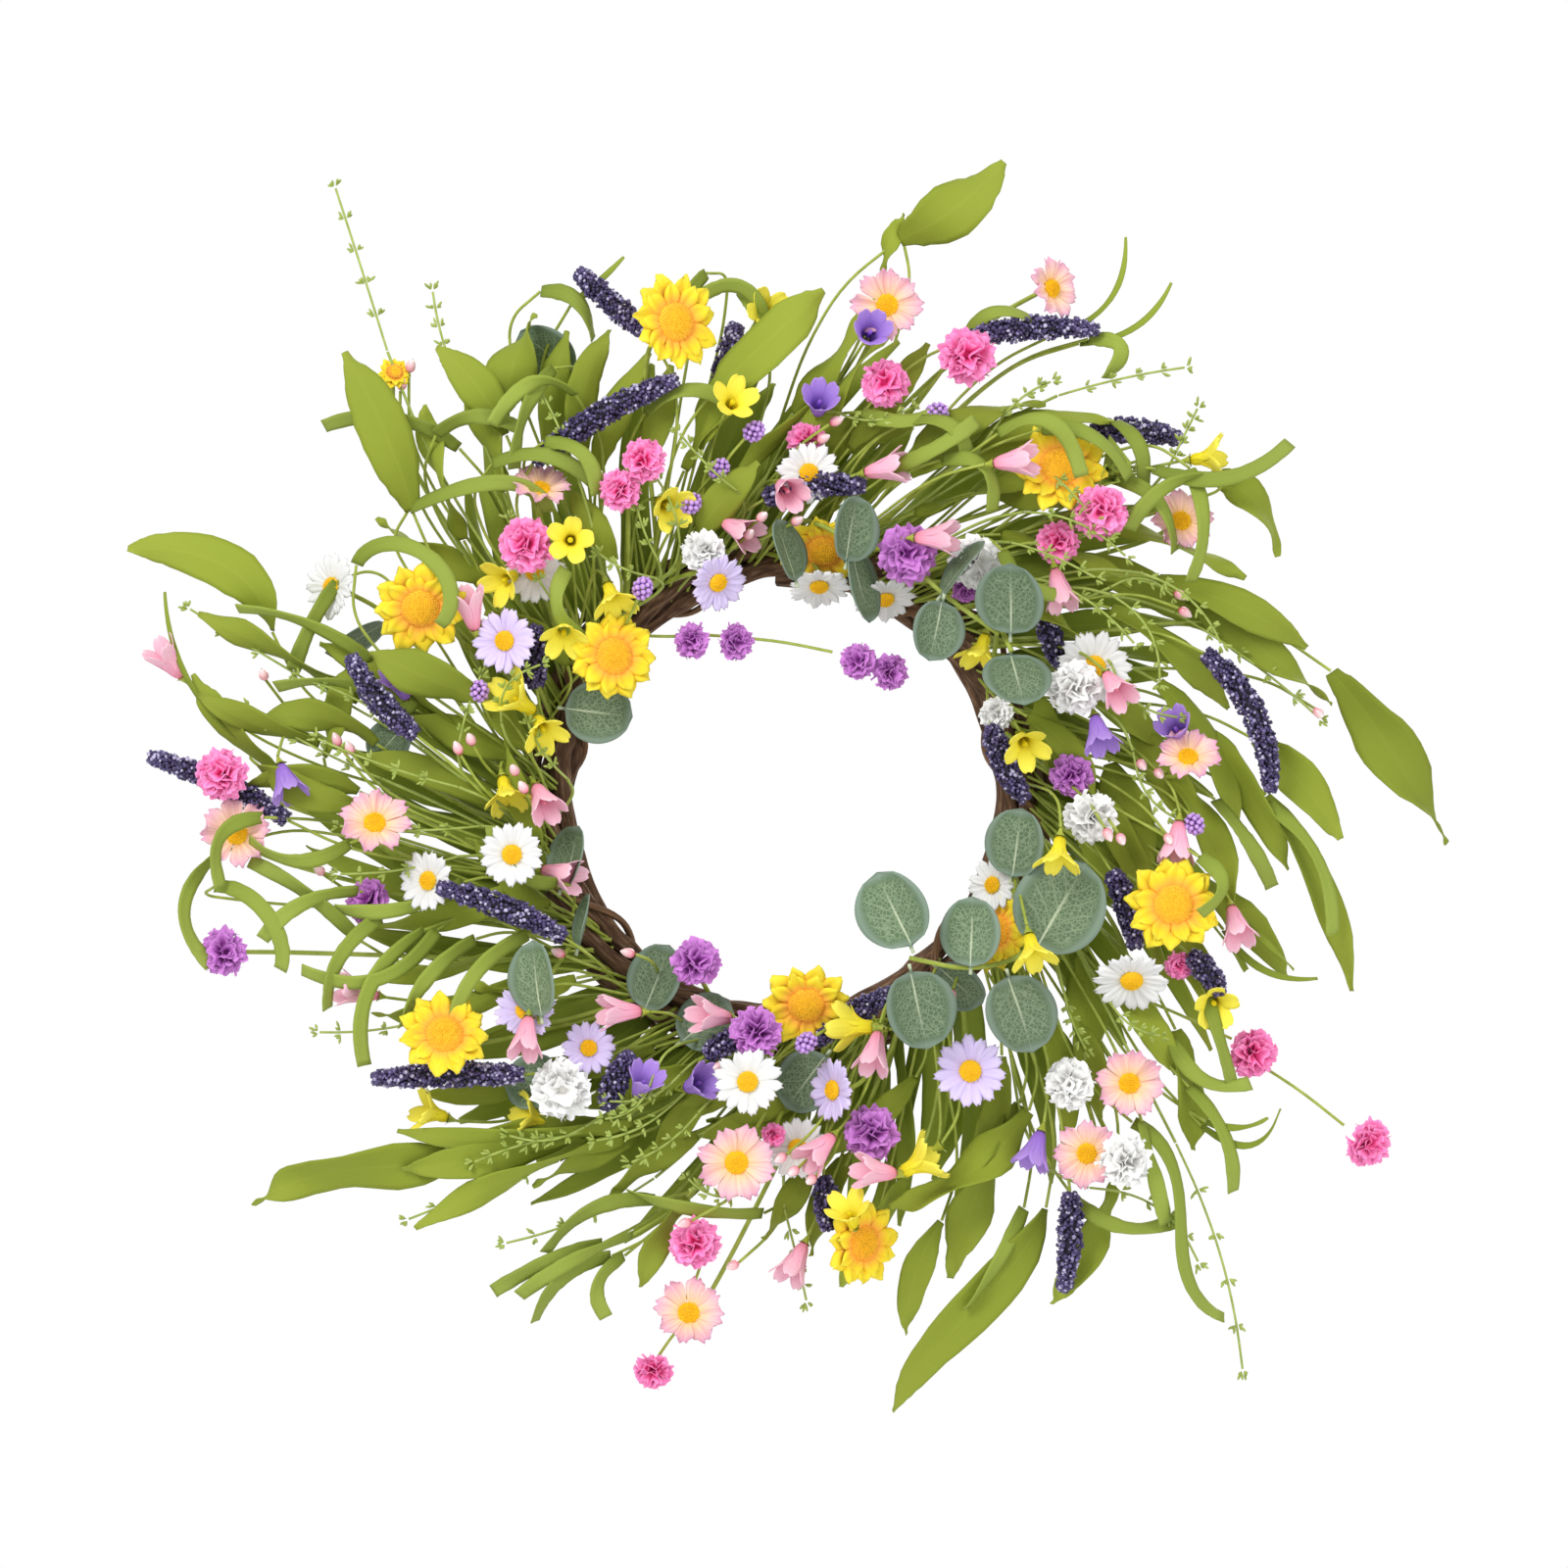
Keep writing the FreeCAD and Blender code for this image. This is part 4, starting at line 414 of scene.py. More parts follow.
def flower_pieces(name, slot, layers, look, florets, disc_name, disc_slot):
    """The petal layers, discs and calyxes of one kind of open flower."""
    rng = chance(name)
    calyxes = f"{name}_calyxes"
    for node, layer in layers.items():
        blooms = []
        for base, axis, reach, _ in head_poses(f"{name}_{node}", calyxes, flat=True):
            ring = petal_ring(rng=rng, reach=reach, **layer, **look)
            blooms.append(stood(ring, base, axis, spin=rng.uniform(0, 6)))
        piece(f"{name}_{node}_cloth", blooms, name, slot, f"{name}_{node}", thickness=0.35 * MM)
    discs = []
    for base, axis, reach, rise in head_poses(f"{name}_centres", calyxes, flat=True):
        discs.append(stood(disc(reach, rise, *florets, rng), base, axis, spin=rng.uniform(0, 6)))
    piece(f"{name}_discs_florets", discs, disc_name, disc_slot, f"{name}_centres")
    heads = f"{name}_{next(iter(layers))}"
    sepal_pieces(f"{name}_sepals", calyxes, head_poses(heads, calyxes, flat=True))


def sepal_cup(radius, depth, rng):
    """A calyx: a ribbed cup with five pointed sepals behind the petals."""
    profile = [(0.3, -1), (0.36, -0.86), (0.5, -0.6), (0.8, -0.25), (0.98, -0.04), (0.9, 0)]
    cup = lathe(profile, 15, (radius, depth))
    cup[0][:, :2] *= (1 + 0.06 * np.cos(5 * np.arctan2(cup[0][:, 1], cup[0][:, 0])))[:, None]
    sepals = petal_ring(5, rng, half_widths=(0.2, 0.3, 0.26, 0.03), lifts=(-0.2, -0.12, -0.02, 0.05),
                        reach=radius * 1.5, rows=6, columns=5, curl=0.1, start=0.35)
    return merged([cup, sepals])


def sepal_pieces(name, calyx, poses):
    """The calyxes of one kind of flower; each stands behind the nearest head."""
    rng = chance(name)
    bases = np.array([base for base, _, _, _ in poses])
    cups = []
    for points, _ in solids(calyx):
        middle = points.mean(0)
        index = np.argmin(((bases - middle) ** 2).sum(1))
        axis = poses[index][1]
        rise, gaps = off_axis(points, middle, axis)
        cup = sepal_cup(gaps.max(), np.ptp(rise), rng)
        cups.append(stood(cup, middle + axis * rise.max(), axis, spin=rng.uniform(0, 6)))
    piece(name, cups, "calyx", "calyx", calyx)


def ruffle(reach, tilt, rng):
    """One gathered petal of a carnation, with a wavy, toothed rim."""
    u, v = grid(9, 17)
    beat, shift = rng.uniform(1.2, 2.2), rng.uniform(0, 6)
    length = reach * rng.uniform(0.85, 1.05)
    rim = 1 - 0.10 * u ** 5 * (1 + np.sin(12 * v + shift)) - 0.12 * u * v ** 2
    fan = 0.10 + 0.62 * u ** 1.4
    x = length * u * rim * np.cos(0.7 * v * u)
    y = length * fan * v
    gathers = 0.15 * u ** 1.5 * np.sin(math.pi * beat * v + shift)
    teeth = 0.035 * u ** 2 * np.sin(13 * v + 2 * shift)
    z = length * (gathers + teeth - 0.16 * u ** 3)
    points, faces, values = sheet((x, y, z), u, v, rng.uniform())
    c, s = math.cos(tilt), math.sin(tilt)
    return points @ np.array([[c, 0, s], [0, 1, 0], [-s, 0, c]]), faces, values


def carnation(radius, height, rng):
    """A ruffled head: tiers of gathered petals that fill a dome."""
    parts = []
    tiers = ((6, 0.12, 1.0), (6, 0.55, 0.97), (6, 0.95, 0.95), (5, 1.25, 0.93), (4, 1.48, 0.9))
    for count, tilt, share in tiers:
        for k in range(count):
            turn = 2 * math.pi * k / count + rng.uniform(-0.3, 0.3)
            reach = share * (radius * math.cos(tilt) ** 2 + height * math.sin(tilt) ** 2)
            points, faces, values = ruffle(reach, tilt + rng.uniform(-0.2, 0.2), rng)
            seat = np.array([0.04 * radius, 0, 0.25 * height * (1 - math.sin(tilt))])
            parts.append(turned((points + seat, faces, values), turn))
    profile = [(0.14, 0), (0.17, 0.1), (0.24, 0.2), (0.2, 0.28), (0.01, 0.32)]
    throat = lathe(profile, 12, (radius, height))
    throat[2][:, 0] = 0.1
    return merged(parts + [throat])


def bell_flower(count, mouth, length, belly, petals, curl, rng):
    """A trumpet flower: a closed tube that opens into separate petals with turned tips."""
    u, v = grid(14, 7)
    radius = mouth * curve_through(belly, u[:, 0])[:, None].clip(0.06)
    height = length * (u - curl * u ** 6)
    split = 0.32
    open_share = np.clip((u - split) / (1 - split), 0, 1)
    free = curve_through(petals, open_share[:, 0])[:, None].clip(0.03) * mouth
    parts = []
    for k in range(count):
        tone, lean, twist = rng.uniform(), rng.uniform(-0.05, 0.05), rng.uniform(-0.12, 0.12)
        closed = radius * math.tan(math.pi / count) * 1.04
        half = np.where(u < split, closed, free)
        across = v * half
        x = radius - 0.35 * across ** 2 / radius.clip(1e-4) * (1 - open_share)
        x = x + open_share ** 2 * lean * mouth
        z = height + twist * across * open_share + 0.10 * mouth * open_share * v ** 2
        one = sheet((x, across, z), u, v, tone)
        parts.append(turned(one, 2 * math.pi * k / count + rng.uniform(-0.05, 0.05)))
    profile = [(0.05, 0.1), (0.06, 0.4), (0.11, 0.52), (0.09, 0.6), (0.02, 0.64)]
    pistil = lathe(profile, 8, (mouth, length), tone=1.0)
    pistil[2][:, 0] = 0.02
    return merged(parts + [pistil])


def bell_pieces(name, cloth, slot, **look):
    """All the trumpet flowers of one kind."""
    rng = chance(name)
    blooms = []
    for base, axis, reach, rise in head_poses(name, "bell_cups"):
        bloom = bell_flower(mouth=reach, length=rise, rng=rng, **look)
        blooms.append(stood(bloom, base, axis, spin=rng.uniform(0, 6)))
    piece(f"{name}_cloth", blooms, cloth, slot, name, thickness=0.3 * MM)


# ---------------------------------------------------------------- leaves, spikes and twigs

def leaf(track, columns, fold, ripple, waves, roll, rng):
    """A cloth blade along a track: creased at its midrib, rolled about it and rippled towards its edges."""
    centres, along, sides, spreads = track
    rows = len(centres)
    widths = spreads * EVEN_SPREAD
    u, v = grid(rows, columns)
    depth, pace, start = rng.uniform(0.3, 1.0), rng.uniform(0.7, 1.2), rng.uniform(-0.3, 0.3)
    angle = roll * depth * np.sin(math.pi * (2.2 * u * pace + start))
    angle = angle * rng.choice((-1, 1)) * (u * (1.15 - u) * 4).clip(0, 1)
    sides = sides * np.cos(angle) + np.cross(along, sides) * np.sin(angle)
    normals = np.cross(sides, along)
    shift, lean = rng.uniform(0, 6, 2), rng.uniform(0.6, 1.4)
    edge = 1 + 0.04 * np.sin(9 * waves * u + shift[0]) + 0.025 * rng.standard_normal((rows, 1))
    across = v * widths[:, None] * edge
    rise = fold * lean * widths[:, None] * (np.sqrt(v ** 2 + 0.01) - 0.4)
    rise = rise + ripple * v ** 2 * np.sin(math.pi * waves * u * 2 + shift[0] + (v > 0) * shift[1])
    points = centres[:, None] + sides[:, None] * across[..., None] + normals[:, None] * rise[..., None]
    return sheet(np.moveaxis(points, -1, 0), u, v, rng.uniform())


def leaf_pieces(name, closeness, cloth, count, thickness, **look):
    """All the blades of one CAD node."""
    rng = chance(name)
    blades = [leaf(stations(solid, closeness, count), rng=rng, **look) for solid in solids(name)]
    piece(f"{name}_cloth", blades, cloth, cloth, name, thickness=thickness)


def eucalyptus_leaf(length, width, rng):
    """An oval leaf along +Y from its foot at the origin, a little cupped, with a short stalk."""
    u, v = grid(17, 13)
    half = 0.5 * width * np.sqrt((1 - (2 * u - 1) ** 2).clip(0)) * (1.04 - 0.16 * u + 0.08 * np.sin(2 * u))
    y = length * (u - 0.035 * np.exp(-(v / 0.3) ** 2) * (1 - u) ** 8)
    cup, wave = rng.uniform(0.04, 0.16), rng.uniform(0, 6)
    z = cup * width * (np.abs(v) ** 1.6 * (half / (0.5 * width)) ** 1.2 - 0.3)
    z = z + 0.02 * length * np.sin(4 * u + wave) + 0.012 * width * np.sin(7 * u + 3 * v + wave) * v ** 2
    blade = sheet((v * half, y, z), u, v, rng.uniform())
    points, faces, values = lathe([(0.7, 0), (0.6, 2), (0.5, 4)], 6, MM)
    return merged([blade, (points[:, [0, 2, 1]] - np.array([0, 3.4 * MM, 0]), faces, values)])


def eucalyptus_pieces(name, twigs):
    """The oval leaves, each laid on its own CAD plate with its foot towards the twigs."""
    rng = chance(name)
    twig_spots = node_mesh(twigs)[0][::5]
    to_canes = close_to("vine_core")
    far_from_twigs = 12 * MM
    leaves = []
    for points, _ in solids(name):
        middle, (normal, side, along) = main_ways(points)
        spans = [np.ptp((points - middle) @ way) for way in (side, along)]
        ends = [middle - along * spans[1] / 2, middle + along * spans[1] / 2]
        gaps = [((twig_spots - end) ** 2).sum(1).min() for end in ends]
        if min(gaps) > far_from_twigs ** 2:
            gaps = [to_canes(end) for end in ends]
        if gaps[1] < gaps[0]:
            along = -along
        normal = normal * (np.sign(normal @ FRONT) or 1)
        side = np.cross(along, normal)
        foot = middle - along * spans[1] / 2
        shape = eucalyptus_leaf(spans[1], spans[0], rng)
        leaves.append((foot + shape[0] @ np.stack([side, along, normal]), shape[1], shape[2]))
    piece(f"{name}_veined", leaves, "eucalyptus", "eucalyptus", name, thickness=0.5 * MM)


def granule():
    """One crumb of foam: a lumpy ball of twelve corners."""
    g = (1 + math.sqrt(5)) / 2
    corners = unit([np.roll((0, s, t * g), -k) for k in range(3) for s in (-1, 1) for t in (-1, 1)])
    gaps = ((corners[:, None] - corners[None]) ** 2).sum(-1)
    near = (gaps > 0) & (gaps < 1.3)
    faces = [(a, b, c) for a in range(12) for b in range(a + 1, 12) for c in range(b + 1, 12)
             if near[a, b] and near[b, c] and near[a, c]]
    faces = [(a, b, c) if np.dot(np.cross(corners[b] - corners[a], corners[c] - corners[a]), corners[a]) > 0
             else (a, c, b) for a, b, c in faces]
    return corners, np.array([(a, b, c, c) for a, b, c in faces])


def tube_mesh(centres, radii, sides, tone=0.5):
    """A closed tube of rings along a line of centres."""
    along = unit(np.gradient(centres, axis=0))
    side = square_to(along[0])[0]
    rings = []
    for index, (centre, way) in enumerate(zip(centres, along)):
        side = unit(side - way * (side @ way))
        up = np.cross(way, side)
        turn = 2 * math.pi * np.arange(sides) / sides
        rings.append(centre + radii[index] * (np.outer(np.cos(turn), side) + np.outer(np.sin(turn), up)))
    rings = [rings[0] * 0.05 + centres[0] * 0.95] + rings + [rings[-1] * 0.05 + centres[-1] * 0.95]
    share = np.repeat(np.linspace(0, 1, len(rings)), sides)
    across = np.tile(np.arange(sides) / sides, len(rings))
    return part(np.vstack(rings), quads(len(rings), sides, closed=True), share, across, tone)


def lavender_spike(track, rng):
    """A foam spike: a core with crumbs stuck all over it, looser towards the outside. The core is coloured
    dark as painted shade between the crumbs.
    """
    centres, along, sides, spreads = track
    radii = spreads * ROUND_SPREAD
    length = np.linalg.norm(np.diff(centres, axis=0), axis=1).sum()
    core = tube_mesh(centres, radii * 0.62, 8, tone=0.0)
    # An along value of 0 gives the core the darkest painted shade in the lavender material.
    core[2][:, 0] = 0.0
    corners, faces = granule()
    crumb_gap = 1.55 * MM
    count = int(length * radii.mean() * 2 * math.pi / crumb_gap ** 2)
    ups = np.cross(along, sides)
    parts = [core]
    for k in range(count):
        share = (k + rng.uniform(0, 1)) / count
        place = share * (len(centres) - 1)
        low = min(int(place), len(centres) - 2)
        mix = place - low
        centre, side, up, radius = (values[low] * (1 - mix) + values[low + 1] * mix
                                    for values in (centres, sides, ups, radii))
        turn = k * GOLDEN + rng.uniform(-0.3, 0.3)
        out = side * math.cos(turn) + up * math.sin(turn)
        reach = radius * rng.uniform(0.72, 1.08)
        lumps = corners * rng.uniform(0.65, 1.2, (12, 1)) * rng.uniform(0.75, 1.25) * MM
        # A crumb's along value grows with how far out it sits; the lavender material darkens the deeper
        # crumbs with it as painted shade.
        parts.append(part(lumps @ np.linalg.qr(rng.standard_normal((3, 3)))[0] + centre + out * reach, faces,
                          along=0.5 + reach / radius / 2, tone=rng.uniform()))
    return merged(parts)


def lavender_pieces(name, stems):
    """All the foam spikes."""
    rng = chance(name)
    closeness = close_to(stems)
    spikes = [lavender_spike(stations(solid, closeness, 14), rng) for solid in solids(name)]
    piece(f"{name}_crumbs", spikes, "lavender", "lavender", name)


def vine_piece(node, radius, look):
    """A cane with bark: uneven thickness, long ridges, and knots where side shoots were cut."""
    rng = chance(node)
    points = node_mesh(node)[0]
    flat = points - RING
    turn = np.arctan2(flat[:, 2], flat[:, 0])
    gap = np.sort(turn)
    widest = np.argmax(np.diff(np.append(gap, gap[0] + 2 * math.pi)))
    start = gap[(widest + 1) % len(gap)]
    turn = (turn - start) % (2 * math.pi)
    count, around = 220, 14
    edges = np.linspace(0, turn.max(), count + 1)
    home = np.clip(np.digitize(turn, edges) - 1, 0, count - 1)
    kept = np.flatnonzero(np.bincount(home, minlength=count))
    centres = np.array([points[home == index].mean(0) for index in kept])
    steps = np.linspace(0, count - 1, count)
    centres = np.column_stack([np.interp(steps, kept, centres[:, axis]) for axis in range(3)])
    for _ in range(6):
        centres[1:-1] = (centres[:-2] + 2 * centres[1:-1] + centres[2:]) / 4
    wave = np.convolve(rng.normal(0, 1, count + 20), np.hanning(21), "valid") / 6
    radii = radius * (1 + 0.10 * wave)
    knots, knot_size, knot_length, clear_end = 7, 0.22, 1.6, 8
    for knot in rng.choice(np.arange(clear_end, count - clear_end), knots, replace=False):
        radii = radii + radius * knot_size * np.exp(-((steps - knot) / knot_length) ** 2)
    body = tube_mesh(centres, radii, around)
    ridges = rng.normal(0, 1, (len(body[0]) // around, around))
    for _ in range(12):
        ridges = (np.roll(ridges, 1, 0) + ridges * 2 + np.roll(ridges, -1, 0)) / 4
    points, faces, values = body
    away = points - np.repeat(np.vstack([centres[:1], centres, centres[-1:]]), around, axis=0)
    values[:, 2] = rng.uniform()
    bark_part = (points + away * 0.3 * ridges.reshape(-1, 1), faces, values)
    piece(f"{node}_bark", [bark_part], look, look, node)


def leaflet_pieces(name):
    """The leaflets of the sprigs: each CAD cone becomes a little fork of needles."""
    rng = chance(name)
    forks = []
    profile = [(0.25, 0), (0.6, 0.25), (1, 0.6), (0.7, 0.88), (0.12, 1)]
    for points, _ in solids(name):
        middle, (_, _, axis) = main_ways(points)
        rise, gaps = off_axis(points, middle, axis)
        if gaps[rise > 0].max() < gaps[rise < 0].max():
            axis, rise = -axis, -rise
        foot, length = middle + axis * rise.min(), np.ptp(rise)
        side, up = square_to(axis)
        for k, lean in enumerate((0.1, 0.5, 0.7)):
            turn = 2.5 * k + rng.uniform(-1.0, 1.0)
            way = unit(axis + lean * (side * math.cos(turn) + up * math.sin(turn)) + rng.normal(0, 0.1, 3))
            needle = lathe(profile, 6, (0.72 * MM, length * rng.uniform(0.5, 1.2)), rng.uniform())
            forks.append(stood(needle, foot, way))
    piece(f"{name}_needles", forks, "sprig", "sprig", name)


def bud_pieces(name, stems):
    """The pip buds: glossy drops with a pinched tip."""
    rng = chance(name)
    profile = [(0.2, 0), (0.62, 0.08), (0.95, 0.25), (1, 0.45), (0.82, 0.68), (0.45, 0.88), (0.12, 1)]
    spots = node_mesh(stems)[0]
    buds = []
    for points, _ in solids(name):
        middle, (_, _, axis) = main_ways(points)
        axis = axis * np.sign(axis @ (middle - nearest(spots, middle)))
        rise = off_axis(points, middle, axis)[0]
        length = np.ptp(rise)
        drop = lathe(profile, 10, (0.34 * length, length), rng.uniform())
        buds.append(stood(drop, middle + axis * rise.min(), axis))
    piece(f"{name}_glossy", buds, "bud", "bud", name)


def berry_pieces(name):
    """The berry heads: tight clusters of small beads."""
    rng = chance(name)
    beads, count = [], 34
    profile = [(math.sin(a), -math.cos(a)) for a in np.linspace(0.02, math.pi - 0.02, 7)]
    for points, _ in solids(name):
        middle, (_, _, axis) = main_ways(points)
        rise, gaps = off_axis(points, middle, axis)
        middle = middle + axis * (rise.max() + rise.min()) / 2
        side, up = square_to(axis)
        for k in range(count):
            height = 1 - 2 * (k + 0.5) / count
            flat = math.sqrt(1 - height ** 2)
            way = axis * height * 1.25 + (side * math.cos(k * GOLDEN) + up * math.sin(k * GOLDEN)) * flat
            bead = 1.25 * MM * rng.uniform(0.85, 1.15)
            ball = lathe(profile, 8, bead, rng.uniform())
            beads.append(stood(ball, middle + way * (gaps.max() - 0.6 * bead), unit(way)))
    piece(f"{name}_beads", beads, "berry", "berry", name)


# ---------------------------------------------------------------- materials

class Paint:
    """A small helper that builds one procedural material."""

    def __init__(self, name, roughness, **sockets):
        self.material = bpy.data.materials.new(name)
        self.material.use_nodes = True
        self.tree = self.material.node_tree
        self.shader = self.tree.nodes["Principled BSDF"]
        self.shader.inputs["Roughness"].default_value = roughness
        for socket, value in sockets.items():
            self.shader.inputs[socket.replace("_", " ")].default_value = value

    def node(self, kind, output=0, settings=None, **inputs):
        """Adds a node, sets or links its inputs, and gives back one of its outputs."""
        made = self.tree.nodes.new(kind)
        for key, value in (settings or {}).items():
            setattr(made, key, value)
        for key, value in inputs.items():
            socket = made.inputs[int(key[1:])] if key[0] == "i" and key[1:].isdigit() else made.inputs[key]
            if isinstance(value, bpy.types.NodeSocket):
                self.tree.links.new(value, socket)
            else:
                socket.default_value = value
        return made.outputs[output]

    def value(self, word):
        """A point attribute."""
        return self.node("ShaderNodeAttribute", "Fac", {"attribute_name": word})

    def maths(self, operation, first, second=0.0):
        """The result of one sum."""
        return self.node("ShaderNodeMath", 0, {"operation": operation}, i0=first, i1=second)

    def times(self, first, second):
        """The product of two values."""
        return self.maths("MULTIPLY", first, second)

    def place(self):
        """The place of a surface point in its own piece."""
        return self.node("ShaderNodeTexCoord", "Object")

    def stretched(self, across_scale, along_scale):
        """A coordinate that runs along a petal or leaf, for lines that follow it."""
        across = self.times(self.value("across"), across_scale)
        along = self.times(self.value("along"), along_scale)
        tone = self.times(self.value("tone"), 40.0)
        return self.node("ShaderNodeCombineXYZ", 0, None, X=across, Y=along, Z=tone)

    def noise(self, scale, vector=None, detail=3.0):
        """Cloudy values that vary from place to place."""
        vector = vector or self.place()
        return self.node("ShaderNodeTexNoise", "Fac", None, Vector=vector, Scale=scale, Detail=detail)

    def band(self, value, low, high, start=0.0, end=1.0):
        """A value carried from the range low to high into the range start to end."""
        ends = {"From Min": low, "From Max": high, "To Min": start, "To Max": end}
        return self.node("ShaderNodeMapRange", 0, None, Value=value, **ends)

    def ramp(self, factor, *stops):
        """Colours along a factor: stops are (position, colour)."""
        output = self.node("ShaderNodeValToRGB", 0, None, Fac=factor)
        band = output.node.color_ramp
        while len(band.elements) < len(stops):
            band.elements.new(0.5)
        for element, (position, colour) in zip(band.elements, stops):
            element.position = position
            element.color = (*linear(colour), 1)
        return output

    def mix(self, factor, first, second):
        """Two colours, mixed by a factor."""
        output = self.node("ShaderNodeMix", 2, {"data_type": "RGBA"})
        made = output.node
        for index, value in ((0, factor), (6, first), (7, second)):
            if isinstance(value, bpy.types.NodeSocket):
                self.tree.links.new(value, made.inputs[index])
            else:
                made.inputs[index].default_value = value if index == 0 else (*linear(value), 1)
        return output

    def varied(self, colour, amount):
        """A colour made a little lighter or darker by the chance value of each petal or leaf."""
        low, high = 1 - amount, 1 + amount
        level = self.band(self.value("tone"), 0.0, 1.0, low, high)
        return self.node("ShaderNodeHueSaturation", 0, None, Color=colour, Value=level)

    def finish(self, colour, *bumps):
        """Links the colour and a chain of (height, strength, distance) bumps."""
        self.tree.links.new(colour, self.shader.inputs["Base Color"])
        normal = None
        for height, strength, distance in bumps:
            inputs = {"Height": height, "Strength": strength, "Distance": distance}
            if normal is not None:
                inputs["Normal"] = normal
            normal = self.node("ShaderNodeBump", 0, None, **inputs)
        if normal is not None:
            self.tree.links.new(normal, self.shader.inputs["Normal"])
        return self.material


def linear(colour):
    """A colour of 0 to 255 values on the screen, as the linear values that the shader takes."""
    return [((c / 255 + 0.055) / 1.055) ** 2.4 if c > 10 else c / 255 / 12.92 for c in colour]


def cloth_petal(name, foot, body, tip, streak, lines=0.25, blush=(0.0, 0.35)):
    """Printed petal cloth: a colour from foot to tip, fine lines along it and a woven face."""
    paint = Paint(name, 0.8, Specular_IOR_Level=0.2)
    base = paint.ramp(paint.value("along"), (blush[0], foot), (blush[1], body), (1.0, tip))
    grain = paint.noise(1.0, paint.stretched(7.0, 1.2))
    lined = paint.band(grain, 0.45, 0.75)
    # The lines sit on the raised grain; the pale streak of the pink carnations is partly printed lines and
    # partly painted highlight there.
    base = paint.mix(paint.times(lined, lines), base, streak)
    weave = paint.noise(1500.0, detail=2.0)
    return paint.finish(paint.varied(base, 0.05), (grain, 0.5, 0.4 * MM), (weave, 0.25, 0.15 * MM))


def leaf_cloth(name, foot, body, tip, spot):
    """Green leaf cloth: a softer midrib line, uneven dye, and a woven face."""
    paint = Paint(name, 0.75, Specular_IOR_Level=0.2)
    base = paint.ramp(paint.value("along"), (0.0, foot), (0.4, body), (1.0, tip))
    patch = paint.noise(22.0, detail=4.0)
    base = paint.mix(paint.times(patch, 0.35), base, spot)
    rib = paint.maths("ABSOLUTE", paint.value("across"))
    rib_line = paint.band(rib, 0.0, 0.1, 0.25, 0.0)
    base = paint.mix(rib_line, base, tip)
    weave = paint.noise(1300.0, detail=2.0)
    fibre = paint.noise(1.0, paint.stretched(14.0, 2.0), detail=4.0)
    return paint.finish(paint.varied(base, 0.12), (fibre, 0.25, 0.3 * MM), (weave, 0.3, 0.15 * MM))


def plastic(name, low, high):
    """Moulded green plastic over wire, unevenly mottled."""
    paint = Paint(name, 0.5, Specular_IOR_Level=0.45)
    mottled = paint.noise(160.0, detail=4.0)
    base = paint.ramp(mottled, (0.3, low), (0.7, high))
    fine = paint.noise(1800.0, detail=2.0)
    return paint.finish(base, (mottled, 0.3, 0.3 * MM), (fine, 0.2, 0.1 * MM))


def bark(name, dark, middle, pale):
    """Dry vine bark: long fibres, pale worn ridges and dark cracks."""
    paint = Paint(name, 0.85, Specular_IOR_Level=0.2)
    along = paint.times(paint.value("along"), 40.0)
    across = paint.times(paint.value("across"), 9.0)
    vector = paint.node("ShaderNodeCombineXYZ", 0, None, X=across, Y=along, Z=paint.value("tone"))
    fibre = paint.noise(1.6, vector, detail=6.0)
    patch = paint.noise(70.0, detail=5.0)
    base = paint.ramp(fibre, (0.3, dark), (0.52, middle), (0.75, pale))
    base = paint.mix(paint.times(patch, 0.5), base, dark)
    return paint.finish(base, (fibre, 0.9, 0.8 * MM), (patch, 0.4, 0.5 * MM))


def eucalyptus_surface(name):
    """Grey-green leaf: dusty rim, darker green inside, pale midrib, side veins and a fine net."""
    paint = Paint(name, 0.6, Specular_IOR_Level=0.35)
    across = paint.maths("ABSOLUTE", paint.value("across"))
    along = paint.value("along")
    bend = paint.times(paint.maths("POWER", across, 0.8), 2.4)
    slant = paint.maths("SUBTRACT", paint.times(along, 6.0), bend)
    wobble = paint.times(paint.noise(90.0, detail=2.0), 0.7)
    veins = paint.maths("PINGPONG", paint.maths("ADD", slant, wobble), 0.5)
    vein_line = paint.band(veins, 0.0, 0.09, 0.5, 0.0)
    to_edge = {"feature": "DISTANCE_TO_EDGE"}
    net = paint.node("ShaderNodeTexVoronoi", 0, to_edge, Vector=paint.place(), Scale=520.0)
    net_line = paint.band(net, 0.0, 0.13, 0.5, 0.0)
    ends = paint.maths("ABSOLUTE", paint.maths("SUBTRACT", paint.times(along, 2.0), 1.0))
    reach = paint.maths("MAXIMUM", across, ends)
    rim = paint.band(reach, 0.74, 0.9)
    inside = paint.band(reach, 0.62, 0.82, 1.0, 0.0)
    base = paint.mix(rim, (80, 104, 70), (118, 138, 120))
    lines = paint.times(paint.maths("MAXIMUM", vein_line, net_line), inside)
    base = paint.mix(lines, base, (166, 184, 146))
    rib = paint.band(across, 0.0, 0.05, 0.9, 0.0)
    fading = paint.band(along, 0.3, 0.8, 1.0, 0.1)
    base = paint.mix(paint.times(rib, fading), base, (212, 222, 188))
    dust = paint.noise(45.0, detail=4.0)
    base = paint.mix(paint.times(dust, 0.25), base, (134, 148, 132))
    return paint.finish(paint.varied(base, 0.14), (lines, 0.5, 0.3 * MM), (dust, 0.15, 0.4 * MM))


